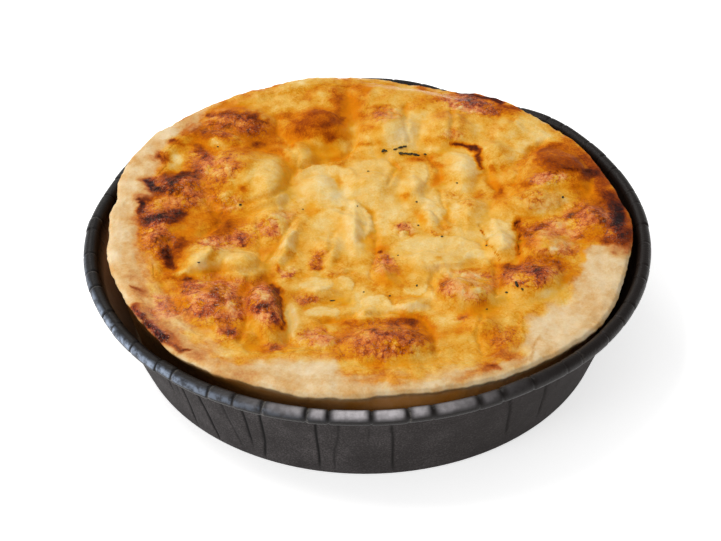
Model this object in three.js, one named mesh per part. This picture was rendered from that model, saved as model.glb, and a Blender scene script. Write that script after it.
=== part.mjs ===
// Cheese quiche in a dark paper baking case with a rolled rim.
// Millimetres, +Z up. The origin is the centre of the flat base, and -Y is the front.
import * as THREE from "three";

const DEGREE = Math.PI / 180;

// Paper case
const rimRadius = 60; // outer edge of the rolled rim
const caseHeight = 23.6; // top of the rolled rim
const baseRadius = 50.5; // outer edge of the flat base
const wallTopRadius = 57; // outer face of the wall where it meets the roll
const paperThickness = 0.6;
const rollRadius = 1.45; // half the thickness of the roll
const hemRadius = 0.45; // half the thickness of the cut edge tucked under the roll
const baseCorner = 0.6; // rounding between base and wall
const creaseCount = 56; // creases pressed across the roll
const creaseSteps = 3; // sides of the roll between two creases
const creaseDepth = 0.4; // how far a crease sinks into the roll
const creaseVariety = 0.25; // unevenness of that depth, as a share of it
const creaseSpread = 0.2; // unevenness of the creases' places, as a share of their spacing
const creasePlacePace = 2.4; // step of that unevenness from one crease to the next, in radians of a wave
const creaseDepthPace = 5.1; // the same for the depth
const baseCornerTurn = { from: -90, to: -15, steps: 2 }; // arc of the rounding, in degrees
const hemTurn = { from: -60, to: 30, steps: 1 };
const rollTurn = { from: -50, to: 200, steps: 6 };

// Pastry shell
const crustRadius = 55; // outer edge of the crust
const crustHeight = 25; // mean height of that edge
const crustTilt = 2.2; // rise of the edge at its high side, and fall at its low side
const crustHighSide = 125 * DEGREE;
const crustCrown = 1; // top of the crust above its outer edge
const crustRound = 2; // width of the rounding at its outer edge
const crustUnder = 1.6; // height of the rounding below its outer edge
const crustTuck = { inwards: 0.2, down: 0.6 }; // corner of the rounding below the edge, as shares of its size
const crustShoulder = { inwards: 0.3, up: 0.7 }; // corner above the edge, as shares of rounding and crown
const pastryFloor = 3; // thickness under the filling
const pastryCornerRadius = 42; // inside radius at the floor
const shoulderRadius = 54; // outer wall just below the rounded edge
const shoulderDrop = 3.2; // how far below the edge that is
const footRadius = 49.8; // outer wall at its foot
const footHeight = 3; // height of the rounded foot
const footFlatRadius = 48; // edge of its flat underside

// Cheese filling
const cheeseRadius = 53.2; // where the melted cheese ends on the crust
const cheeseOverlap = 2; // how far it covers the inner edge of the crust
const cheeseEdge = 0.7; // thickness of that edge
const cheeseBlend = 6; // width over which the edge rises to the full relief
const hollowLevel = -1.3; // bottom of the sunken middle, from the plane of the crust's edge
const ringLevel = 0.7; // plain top of the ring round it, from the same plane
const hollowRadius = 24; // where the middle starts to rise
const ringRadius = 47; // where it reaches the ring
const humpDrop = 3; // fall of a hump from its top to its outline
const humpBlend = 0.4; // how softly neighbouring humps melt into each other

// Clearances and facets
const clearance = 0.3; // between pieces that lie against each other
const wallClearance = 1; // between the filling and the uneven inside wall of the shell
const foodSides = 108;
const cheeseRings = 23;

// Slow unevenness round the edge of crust and cheese: waves in a turn, height, and where they start in radians.
const crustWaves = [
  { waves: 5, height: 0.3, start: 1 },
  { waves: 11, height: 0.2, start: 2 },
];
const cheeseWaves = [
  { waves: 7, height: 0.5, start: 0 },
  { waves: 13, height: 0.4, start: 1 },
];

// Places where the soft case is bent at its rim: direction and spread in degrees, then outwards and upwards.
const rimBends = [
  { at: 64, spread: 12, out: -1.6, up: -1.5 },
  { at: 42, spread: 8, out: 0.4, up: 0 },
  { at: -30, spread: 35, out: 0.2, up: 0 },
  { at: 162, spread: 12, out: -0.7, up: 0 },
  { at: -82, spread: 36, out: 0, up: 1.1 },
  { at: -57, spread: 12, out: 0, up: 0.5 },
];

// Places where the crust's edge swells or shrinks: direction and spread in degrees, then outwards and upwards.
const edgeSwells = [
  { at: 80, spread: 16, out: 0, up: -2.1 },
  { at: 66, spread: 9, out: -0.3, up: -0.9 },
  { at: 54, spread: 7, out: 0.1, up: 0.5 },
  { at: 47, spread: 9, out: -0.3, up: 0 },
  { at: 150, spread: 10, out: 0.4, up: 0.9 },
  { at: 180, spread: 16, out: 0, up: -1 },
  { at: 171, spread: 3, out: -0.7, up: 0.5 },
  { at: 162, spread: 6, out: 0.6, up: 0 },
  { at: -4, spread: 9, out: 0.8, up: 0.7 },
  { at: -30, spread: 14, out: 1.5, up: -0.2 },
  { at: -90, spread: 32, out: -0.3, up: 1.2 },
  { at: -60, spread: 8, out: -0.6, up: 0 },
  { at: -73, spread: 8, out: -0.9, up: 0.2 },
  { at: -84, spread: 6, out: -0.5, up: 0 },
  { at: -100, spread: 8, out: 0.6, up: 0 },
  { at: -48, spread: 12, out: 0.4, up: -0.3 },
  { at: -130, spread: 14, out: -0.5, up: 0 },
];

// Places where the cheese stops short and the crust shows.
const cheeseGaps = [
  { at: -18, spread: 10, depth: 6.6 },
  { at: -43.5, spread: 7, depth: 7.2 },
  { at: -102, spread: 8, depth: 7.6 },
  { at: -158, spread: 20, depth: 3.6 },
  { at: 168, spread: 16, depth: 3.2 },
];

// Humps of the baked top: place, half length, half width, turn in degrees, and rise above the plane of the crust.
const humps = [
  // Burnt shoulder, mound and lobe at the left
  { x: -41, y: 10, long: 8, wide: 6.5, turn: 0, rise: 2.8 },
  { x: -44, y: -1, long: 5, wide: 6, turn: 0, rise: 2.2 },
  { x: -28, y: 16, long: 10, wide: 9, turn: 0, rise: 3.4 },
  { x: -21.5, y: 13, long: 5, wide: 8, turn: 0, rise: 2.9 },
  // Crown at the back left and the ridge before it
  { x: -30, y: 35, long: 10, wide: 6, turn: -10, rise: 3.4 },
  { x: -32, y: 28, long: 8, wide: 4, turn: -20, rise: 2.6 },
  // Bulges along the back
  { x: -11, y: 34, long: 7, wide: 6.5, turn: 0, rise: 3.2 },
  { x: -15, y: 24, long: 4.5, wide: 5.5, turn: 0, rise: 1.7 },
  { x: 5, y: 33, long: 7.5, wide: 7.5, turn: 0, rise: 2.6 },
  { x: 19, y: 34, long: 6.5, wide: 7, turn: 0, rise: 2.2 },
  { x: 29, y: 24, long: 6, wide: 6, turn: 0, rise: 1.8 },
  { x: 33, y: 33, long: 6, wide: 6, turn: 0, rise: 1.6 },
  // Dome at the right, its tail, and the burnt edge
  { x: 41.5, y: 15.5, long: 9, wide: 8, turn: 30, rise: 4.4 },
  { x: 36, y: 6.5, long: 9, wide: 4.5, turn: 15, rise: 2.7 },
  { x: 48, y: -1, long: 5, wide: 8, turn: 0, rise: 2.8 },
  // Broken ring at the right front
  { x: 37.5, y: -9.5, long: 6.5, wide: 7, turn: 0, rise: 2.5 },
  { x: 35, y: -20.5, long: 8, wide: 4.8, turn: 15, rise: 3.4 },
  { x: 20, y: -23.8, long: 7, wide: 5.2, turn: -12, rise: 3.2 },
  { x: 23, y: -33, long: 5, wide: 4.5, turn: 0, rise: 1.7 },
  { x: 27, y: -41, long: 5, wide: 5, turn: 0, rise: 1.8 },
  // Long hump at the front
  { x: 4, y: -41, long: 9.5, wide: 6, turn: 0, rise: 4.3 },
  { x: -9, y: -40, long: 6, wide: 4, turn: 0, rise: 2.8 },
  // Slab, ridge and flap at the left front
  { x: -31, y: -29, long: 9, wide: 7.5, turn: -40, rise: 3.7 },
  { x: -20.5, y: -31, long: 3.4, wide: 8.5, turn: 12, rise: 4.2 },
  { x: -27, y: -38, long: 7, wide: 5, turn: 0, rise: 2.3 },
  { x: -33.5, y: -14.5, long: 6.5, wide: 4.5, turn: 40, rise: 3.3 },
  { x: -26, y: -15, long: 5, wide: 5, turn: 0, rise: 2.4 },
  { x: -44, y: -8, long: 3.5, wide: 5, turn: 20, rise: 2 },
  // Folds of the sunken middle
  { x: -10, y: 12, long: 6, wide: 6.5, turn: 0, rise: 0.6 },
  { x: 1, y: 14, long: 8, wide: 6.5, turn: 0, rise: 0.5 },
  { x: -3, y: -2, long: 2.6, wide: 9, turn: 8, rise: 0.4 },
  { x: 10.5, y: 13, long: 4, wide: 6, turn: 0, rise: 0.5 },
  { x: 21, y: 18, long: 4.5, wide: 7.5, turn: 0, rise: 1 },
  { x: 13, y: 2, long: 2.6, wide: 5, turn: 15, rise: 0.2 },
  { x: 22, y: 5, long: 5, wide: 6.5, turn: 0, rise: 0.4 },
  { x: 14, y: -12, long: 9.5, wide: 4.5, turn: 0, rise: 0.4 },
  { x: 28, y: -7, long: 3.8, wide: 6.5, turn: 0, rise: 0.9 },
  { x: -21, y: 1, long: 6, wide: 7, turn: 0, rise: 0.6 },
  { x: -16.5, y: -8, long: 2, wide: 8, turn: -20, rise: 0.6 },
  { x: -10, y: -22.5, long: 5, wide: 3, turn: 0, rise: 0.3 },
  { x: -8, y: -8, long: 3, wide: 6, turn: -10, rise: 0 },
  { x: 4, y: -16, long: 3, wide: 5, turn: 20, rise: 0.1 },
  { x: 0, y: -29.5, long: 3, wide: 4, turn: 0, rise: 0.4 },
  { x: 9, y: -25, long: 5, wide: 4, turn: 0, rise: 0.2 },
];

// Share of a swell felt at an angle: a bell round its direction.
function bell(angle, { at, spread }) {
  const away = angle - at * DEGREE;
  const turned = Math.atan2(Math.sin(away), Math.cos(away)) / (spread * DEGREE);
  return Math.exp(-turned * turned);
}

// Sum of slow waves at an angle.
function unevenness(angle, list) {
  return list.reduce((sum, { waves, height, start }) => sum + height * Math.sin(waves * angle + start), 0);
}

// Height of the tilted plane that the crust's edge follows.
function crustPlane(x, y) {
  const uphill = x * Math.cos(crustHighSide) + y * Math.sin(crustHighSide);
  return crustHeight + crustTilt * uphill / crustRadius;
}

// Outer edge of the crust at an angle: radius and height.
function crustEdge(angle) {
  let radius = crustRadius + unevenness(angle, crustWaves);
  let height = crustPlane(crustRadius * Math.cos(angle), crustRadius * Math.sin(angle));
  for (const swell of edgeSwells) {
    radius += swell.out * bell(angle, swell);
    height += swell.up * bell(angle, swell);
  }
  return { radius, height };
}

// Outline of the cheese on the crust at an angle.
function cheeseOutline(angle) {
  let radius = cheeseRadius + unevenness(angle, cheeseWaves);
  for (const gap of cheeseGaps) {
    radius -= gap.depth * bell(angle, gap);
  }
  return Math.min(radius, crustEdge(angle).radius - crustRound);
}

// Relief of the baked top above the crust's plane: a sunken middle in a ring, with humps that melt together.
function relief(x, y) {
  const outwards = THREE.MathUtils.smoothstep(Math.hypot(x, y), hollowRadius, ringRadius);
  const plain = THREE.MathUtils.lerp(hollowLevel, ringLevel, outwards);
  let total = Math.exp(plain / humpBlend);
  for (const hump of humps) {
    const cos = Math.cos(hump.turn * DEGREE);
    const sin = Math.sin(hump.turn * DEGREE);
    const along = ((x - hump.x) * cos + (y - hump.y) * sin) / hump.long;
    const across = ((y - hump.y) * cos - (x - hump.x) * sin) / hump.wide;
    const level = hump.rise - humpDrop * (along * along + across * across);
    total += Math.exp(level / humpBlend);
  }
  return humpBlend * Math.log(total);
}

// Closed solid turned about +Z. profileAt gives [radius, height] points at an angle, the same number at each:
// the first on the axis underneath, then outwards and up, and the last on the axis on top. Each four-sided patch
// is split along its shorter diagonal.
function turnedSolid(angles, profileAt) {
  const profiles = angles.map(profileAt);
  const ringCount = profiles[0].length - 2;
  const lastPoint = profiles[0].length - 1;
  const positions = [0, 0, profiles[0][0][1], 0, 0, profiles[0][lastPoint][1]];
  const indices = [];
  profiles.forEach((profile, side) => {
    for (const [radius, height] of profile.slice(1, lastPoint)) {
      positions.push(radius * Math.cos(angles[side]), radius * Math.sin(angles[side]), height);
    }
  });
  const vertex = (side, ring) => 2 + (side % angles.length) * ringCount + ring;
  const corner = (index) => new THREE.Vector3().fromArray(positions, 3 * index);
  const apart = (first, second) => corner(first).distanceTo(corner(second));
  for (let side = 0; side < angles.length; side++) {
    indices.push(0, vertex(side + 1, 0), vertex(side, 0));
    indices.push(1, vertex(side, ringCount - 1), vertex(side + 1, ringCount - 1));
    for (let ring = 0; ring < ringCount - 1; ring++) {
      const low = vertex(side, ring);
      const lowNext = vertex(side + 1, ring);
      const high = vertex(side, ring + 1);
      const highNext = vertex(side + 1, ring + 1);
      if (apart(low, highNext) <= apart(lowNext, high)) {
        indices.push(low, lowNext, highNext, low, highNext, high);
      } else {
        indices.push(low, lowNext, high, lowNext, highNext, high);
      }
    }
  }
  const geometry = new THREE.BufferGeometry();
  geometry.setAttribute("position", new THREE.Float32BufferAttribute(positions, 3));
  geometry.setIndex(indices);
  geometry.computeVertexNormals();
  return geometry;
}

// Points on an arc of a profile, between two directions in degrees.
function arc(centreRadius, centreHeight, radius, { from, to, steps }) {
  return Array.from({ length: steps + 1 }, (_, step) => {
    const direction = THREE.MathUtils.lerp(from, to, step / steps) * DEGREE;
    return [centreRadius + radius * Math.cos(direction), centreHeight + radius * Math.sin(direction)];
  });
}

// Paper case: flat base, sloping wall, tucked hem and creased roll, then down the inside.
function paperCase() {
  const rollCentreRadius = rimRadius - rollRadius;
  const rollCentreHeight = caseHeight - rollRadius;
  const hemHeight = rollCentreHeight - rollRadius;
  const angles = [];
  const sinks = [];
  for (let crease = 0; crease < creaseCount; crease++) {
    const uneven = creaseSpread * Math.sin(creasePlacePace * crease);
    const share = 1 - creaseVariety + creaseVariety * Math.sin(creaseDepthPace * crease);
    for (let step = 0; step < creaseSteps; step++) {
      angles.push((crease + (step === 0 ? uneven : step / creaseSteps)) / creaseCount * 2 * Math.PI);
      sinks.push(step === 0 ? creaseDepth * share : 0);
    }
  }
  const profileAt = (angle, side) => {
    const radius = rollRadius - sinks[side];
    const out = rimBends.reduce((sum, place) => sum + place.out * bell(angle, place), 0);
    const up = rimBends.reduce((sum, place) => sum + place.up * bell(angle, place), 0);
    return [
      [0, 0],
      ...arc(baseRadius - baseCorner, baseCorner, baseCorner, baseCornerTurn),
      [wallTopRadius + out, hemHeight - hemRadius + up],
      ...arc(wallTopRadius + out + 2 * hemRadius, hemHeight + up, hemRadius, hemTurn),
      ...arc(rollCentreRadius + out, rollCentreHeight + up, radius, rollTurn),
      [baseRadius - paperThickness, paperThickness],
      [0, paperThickness],
    ];
  };
  return turnedSolid(angles, profileAt);
}

const foodAngles = Array.from({ length: foodSides }, (_, side) => side / foodSides * 2 * Math.PI);
const pastryBottom = paperThickness + clearance;
const fillingBottom = pastryBottom + pastryFloor;

// Pastry shell: flat underside, rounded foot, outer wall, rounded edge and flat top, then down the inside.
function pastryShell() {
  const profileAt = (angle) => {
    const edge = crustEdge(angle);
    const crown = edge.height + crustCrown;
    const lip = cheeseOutline(angle) - cheeseOverlap;
    return [
      [0, pastryBottom],
      [footFlatRadius, pastryBottom],
      [footRadius, footHeight],
      [shoulderRadius, edge.height - shoulderDrop],
      [edge.radius - crustTuck.inwards * crustRound, edge.height - crustTuck.down * crustUnder],
      [edge.radius, edge.height],
      [edge.radius - crustShoulder.inwards * crustRound, edge.height + crustShoulder.up * crustCrown],
      [edge.radius - crustRound, crown],
      [lip, crown],
      [pastryCornerRadius, fillingBottom],
      [0, fillingBottom],
    ];
  };
  return turnedSolid(foodAngles, profileAt);
}

// Cheese filling: fills the shell, laps over the inner edge of the crust and ends in the baked relief.
function cheeseFilling() {
  const under = fillingBottom + clearance;
  const profileAt = (angle) => {
    const outline = cheeseOutline(angle);
    const crown = crustEdge(angle).height + crustCrown + clearance;
    const points = [
      [0, under],
      [pastryCornerRadius - wallClearance, under],
      [outline - cheeseOverlap - wallClearance, crown],
      [outline - clearance, crown],
    ];
    for (let ring = 0; ring < cheeseRings; ring++) {
      const radius = outline * (1 - ring / cheeseRings);
      const x = radius * Math.cos(angle);
      const y = radius * Math.sin(angle);
      const full = THREE.MathUtils.smoothstep(outline - radius, 0, cheeseBlend);
      const baked = crustPlane(x, y) + relief(x, y);
      points.push([radius, THREE.MathUtils.lerp(crown + cheeseEdge, baked, full)]);
    }
    points.push([0, crustPlane(0, 0) + relief(0, 0)]);
    return points;
  };
  return turnedSolid(foodAngles, profileAt);
}

// A named piece with its own finish.
function piece(name, geometry, color, roughness) {
  const material = new THREE.MeshStandardMaterial({ color, roughness, metalness: 0 });
  const mesh = new THREE.Mesh(geometry, material);
  mesh.name = name;
  return mesh;
}

const quiche = new THREE.Group();
quiche.add(piece("paper_case", paperCase(), 0x3a3331, 0.6));
quiche.add(piece("pastry_shell", pastryShell(), 0xe6c088, 0.75));
quiche.add(piece("cheese_filling", cheeseFilling(), 0xe2a94c, 0.45));

export default quiche;
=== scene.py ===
import math

import bpy
import numpy as np
from mathutils import Matrix, Vector


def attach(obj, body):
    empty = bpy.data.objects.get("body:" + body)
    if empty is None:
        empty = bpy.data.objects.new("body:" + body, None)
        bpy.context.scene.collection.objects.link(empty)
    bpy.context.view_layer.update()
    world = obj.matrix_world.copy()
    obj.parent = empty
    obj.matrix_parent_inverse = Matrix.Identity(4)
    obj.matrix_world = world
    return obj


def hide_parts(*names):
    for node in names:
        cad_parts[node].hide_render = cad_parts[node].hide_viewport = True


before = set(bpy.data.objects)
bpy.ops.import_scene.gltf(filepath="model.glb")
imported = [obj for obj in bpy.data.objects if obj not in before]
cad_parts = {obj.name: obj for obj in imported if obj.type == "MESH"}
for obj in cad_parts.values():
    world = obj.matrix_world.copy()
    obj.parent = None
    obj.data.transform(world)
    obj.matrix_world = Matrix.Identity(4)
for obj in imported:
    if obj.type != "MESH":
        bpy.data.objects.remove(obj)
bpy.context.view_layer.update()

MM = 0.001
RNG = np.random.default_rng(41)

# Paper case
RIM_RADIUS = 60.0
CASE_HEIGHT = 23.6
BASE_RADIUS = 50.5
WALL_TOP_RADIUS = 57.0
PAPER = 0.6
ROLL_RADIUS = 1.45
HEM_RADIUS = 0.45
BASE_CORNER = 0.6
ROLL_MIDDLE_RADIUS = RIM_RADIUS - ROLL_RADIUS
ROLL_MIDDLE_HEIGHT = CASE_HEIGHT - ROLL_RADIUS
HEM_HEIGHT = ROLL_MIDDLE_HEIGHT - ROLL_RADIUS
CREASE_COUNT = 56
CREASE_SPREAD = 0.2
CREASE_DEPTH = 0.4
CREASE_VARIETY = 0.25
CREASE_PLACE_PACE = 2.4
CREASE_DEPTH_PACE = 5.1

# Pastry shell
CRUST_RADIUS = 55.0
CRUST_HEIGHT = 25.0
CRUST_TILT = 2.2
CRUST_HIGH_SIDE = math.radians(125)
CRUST_CROWN = 1.0
CRUST_ROUND = 2.0
CRUST_UNDER = 1.6
PASTRY_FLOOR = 3.0
PASTRY_CORNER_RADIUS = 42.0
SHOULDER_RADIUS = 54.0
FOOT_RADIUS = 49.8
FOOT_HEIGHT = 3.0
FOOT_FLAT_RADIUS = 48.0
CLEARANCE = 0.3
PASTRY_BOTTOM = PAPER + CLEARANCE
FILLING_BOTTOM = PASTRY_BOTTOM + PASTRY_FLOOR

# Cheese filling
CHEESE_RADIUS = 53.2
CHEESE_OVERLAP = 2.0
CHEESE_BLEND = 6.0
HOLLOW_LEVEL = -1.3
RING_LEVEL = 0.7
HOLLOW_RADIUS = 24.0
RING_RADIUS = 47.0
HUMP_DROP = 3.0
HUMP_BLEND = 0.4

# Slow unevenness: waves in a turn, height, start in radians
CRUST_WAVES = [(5, 0.3, 1.0), (11, 0.2, 2.0)]
CHEESE_WAVES = [(7, 0.5, 0.0), (13, 0.4, 1.0)]

# Bends of the case's rim: direction and spread in degrees, outwards, upwards
RIM_BENDS = [
    (64, 12, -1.6, -1.5), (42, 8, 0.4, 0), (-30, 35, 0.2, 0), (162, 12, -0.7, 0), (-82, 36, 0, 1.1),
    (-57, 12, 0, 0.5),
]

# Swells of the crust's edge: direction and spread in degrees, outwards, upwards
EDGE_SWELLS = [
    (80, 16, 0, -2.1), (66, 9, -0.3, -0.9), (54, 7, 0.1, 0.5), (47, 9, -0.3, 0), (150, 10, 0.4, 0.9),
    (180, 16, 0, -1), (171, 3, -0.7, 0.5), (162, 6, 0.6, 0), (-4, 9, 0.8, 0.7), (-30, 14, 1.5, -0.2),
    (-90, 32, -0.3, 1.2), (-60, 8, -0.6, 0), (-73, 8, -0.9, 0.2), (-84, 6, -0.5, 0), (-100, 8, 0.6, 0),
    (-48, 12, 0.4, -0.3), (-130, 14, -0.5, 0),
]

# Places where the cheese stops short of the edge: direction and spread in degrees, depth
CHEESE_GAPS = [(-18, 10, 6.6), (-43.5, 7, 7.2), (-102, 8, 7.6), (-158, 20, 3.6), (168, 16, 3.2)]

# Humps of the baked top: x, y, half length, half width, turn in degrees, rise above the crust's plane
HUMPS = [
    # Burnt shoulder, mound and lobe at the left
    (-41, 10, 8, 6.5, 0, 2.8), (-44, -1, 5, 6, 0, 2.2), (-28, 16, 10, 9, 0, 3.4),
    (-21.5, 13, 5, 8, 0, 2.9),
    # Crown at the back left and the ridge before it
    (-30, 35, 10, 6, -10, 3.4), (-32, 28, 8, 4, -20, 2.6),
    # Bulges along the back
    (-11, 34, 7, 6.5, 0, 3.2), (-15, 24, 4.5, 5.5, 0, 1.7), (5, 33, 7.5, 7.5, 0, 2.6),
    (19, 34, 6.5, 7, 0, 2.2), (29, 24, 6, 6, 0, 1.8), (33, 33, 6, 6, 0, 1.6),
    # Dome at the right, its tail, and the burnt edge
    (41.5, 15.5, 9, 8, 30, 4.4), (36, 6.5, 9, 4.5, 15, 2.7), (48, -1, 5, 8, 0, 2.8),
    # Broken ring at the right front
    (37.5, -9.5, 6.5, 7, 0, 2.5), (35, -20.5, 8, 4.8, 15, 3.4), (20, -23.8, 7, 5.2, -12, 3.2),
    (23, -33, 5, 4.5, 0, 1.7), (27, -41, 5, 5, 0, 1.8),
    # Long hump at the front
    (4, -41, 9.5, 6, 0, 4.3), (-9, -40, 6, 4, 0, 2.8),
    # Slab, ridge and flap at the left front
    (-31, -29, 9, 7.5, -40, 3.7), (-20.5, -31, 3.4, 8.5, 12, 4.2), (-27, -38, 7, 5, 0, 2.3),
    (-33.5, -14.5, 6.5, 4.5, 40, 3.3), (-26, -15, 5, 5, 0, 2.4), (-44, -8, 3.5, 5, 20, 2.0),
    # Folds of the sunken middle
    (-10, 12, 6, 6.5, 0, 0.6), (1, 14, 8, 6.5, 0, 0.5), (-3, -2, 2.6, 9, 8, 0.4),
    (10.5, 13, 4, 6, 0, 0.5), (21, 18, 4.5, 7.5, 0, 1.0), (13, 2, 2.6, 5, 15, 0.2),
    (22, 5, 5, 6.5, 0, 0.4), (14, -12, 9.5, 4.5, 0, 0.4), (28, -7, 3.8, 6.5, 0, 0.9),
    (-21, 1, 6, 7, 0, 0.6), (-16.5, -8, 2, 8, -20, 0.6), (-10, -22.5, 5, 3, 0, 0.3),
    (-8, -8, 3, 6, -10, 0.0), (4, -16, 3, 5, 20, 0.1), (0, -29.5, 3, 4, 0, 0.4), (9, -25, 5, 4, 0, 0.2),
]

# Features of the baked top are placed as the photographed view shows them: on the level plane of the crust,
# from this eye. Every point of the surface is carried along its line of sight to that plane before it is
# compared.
EYE = np.array([0.0, -307.5, 255.8])
SIGHT_LEVEL = 26.0

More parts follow.
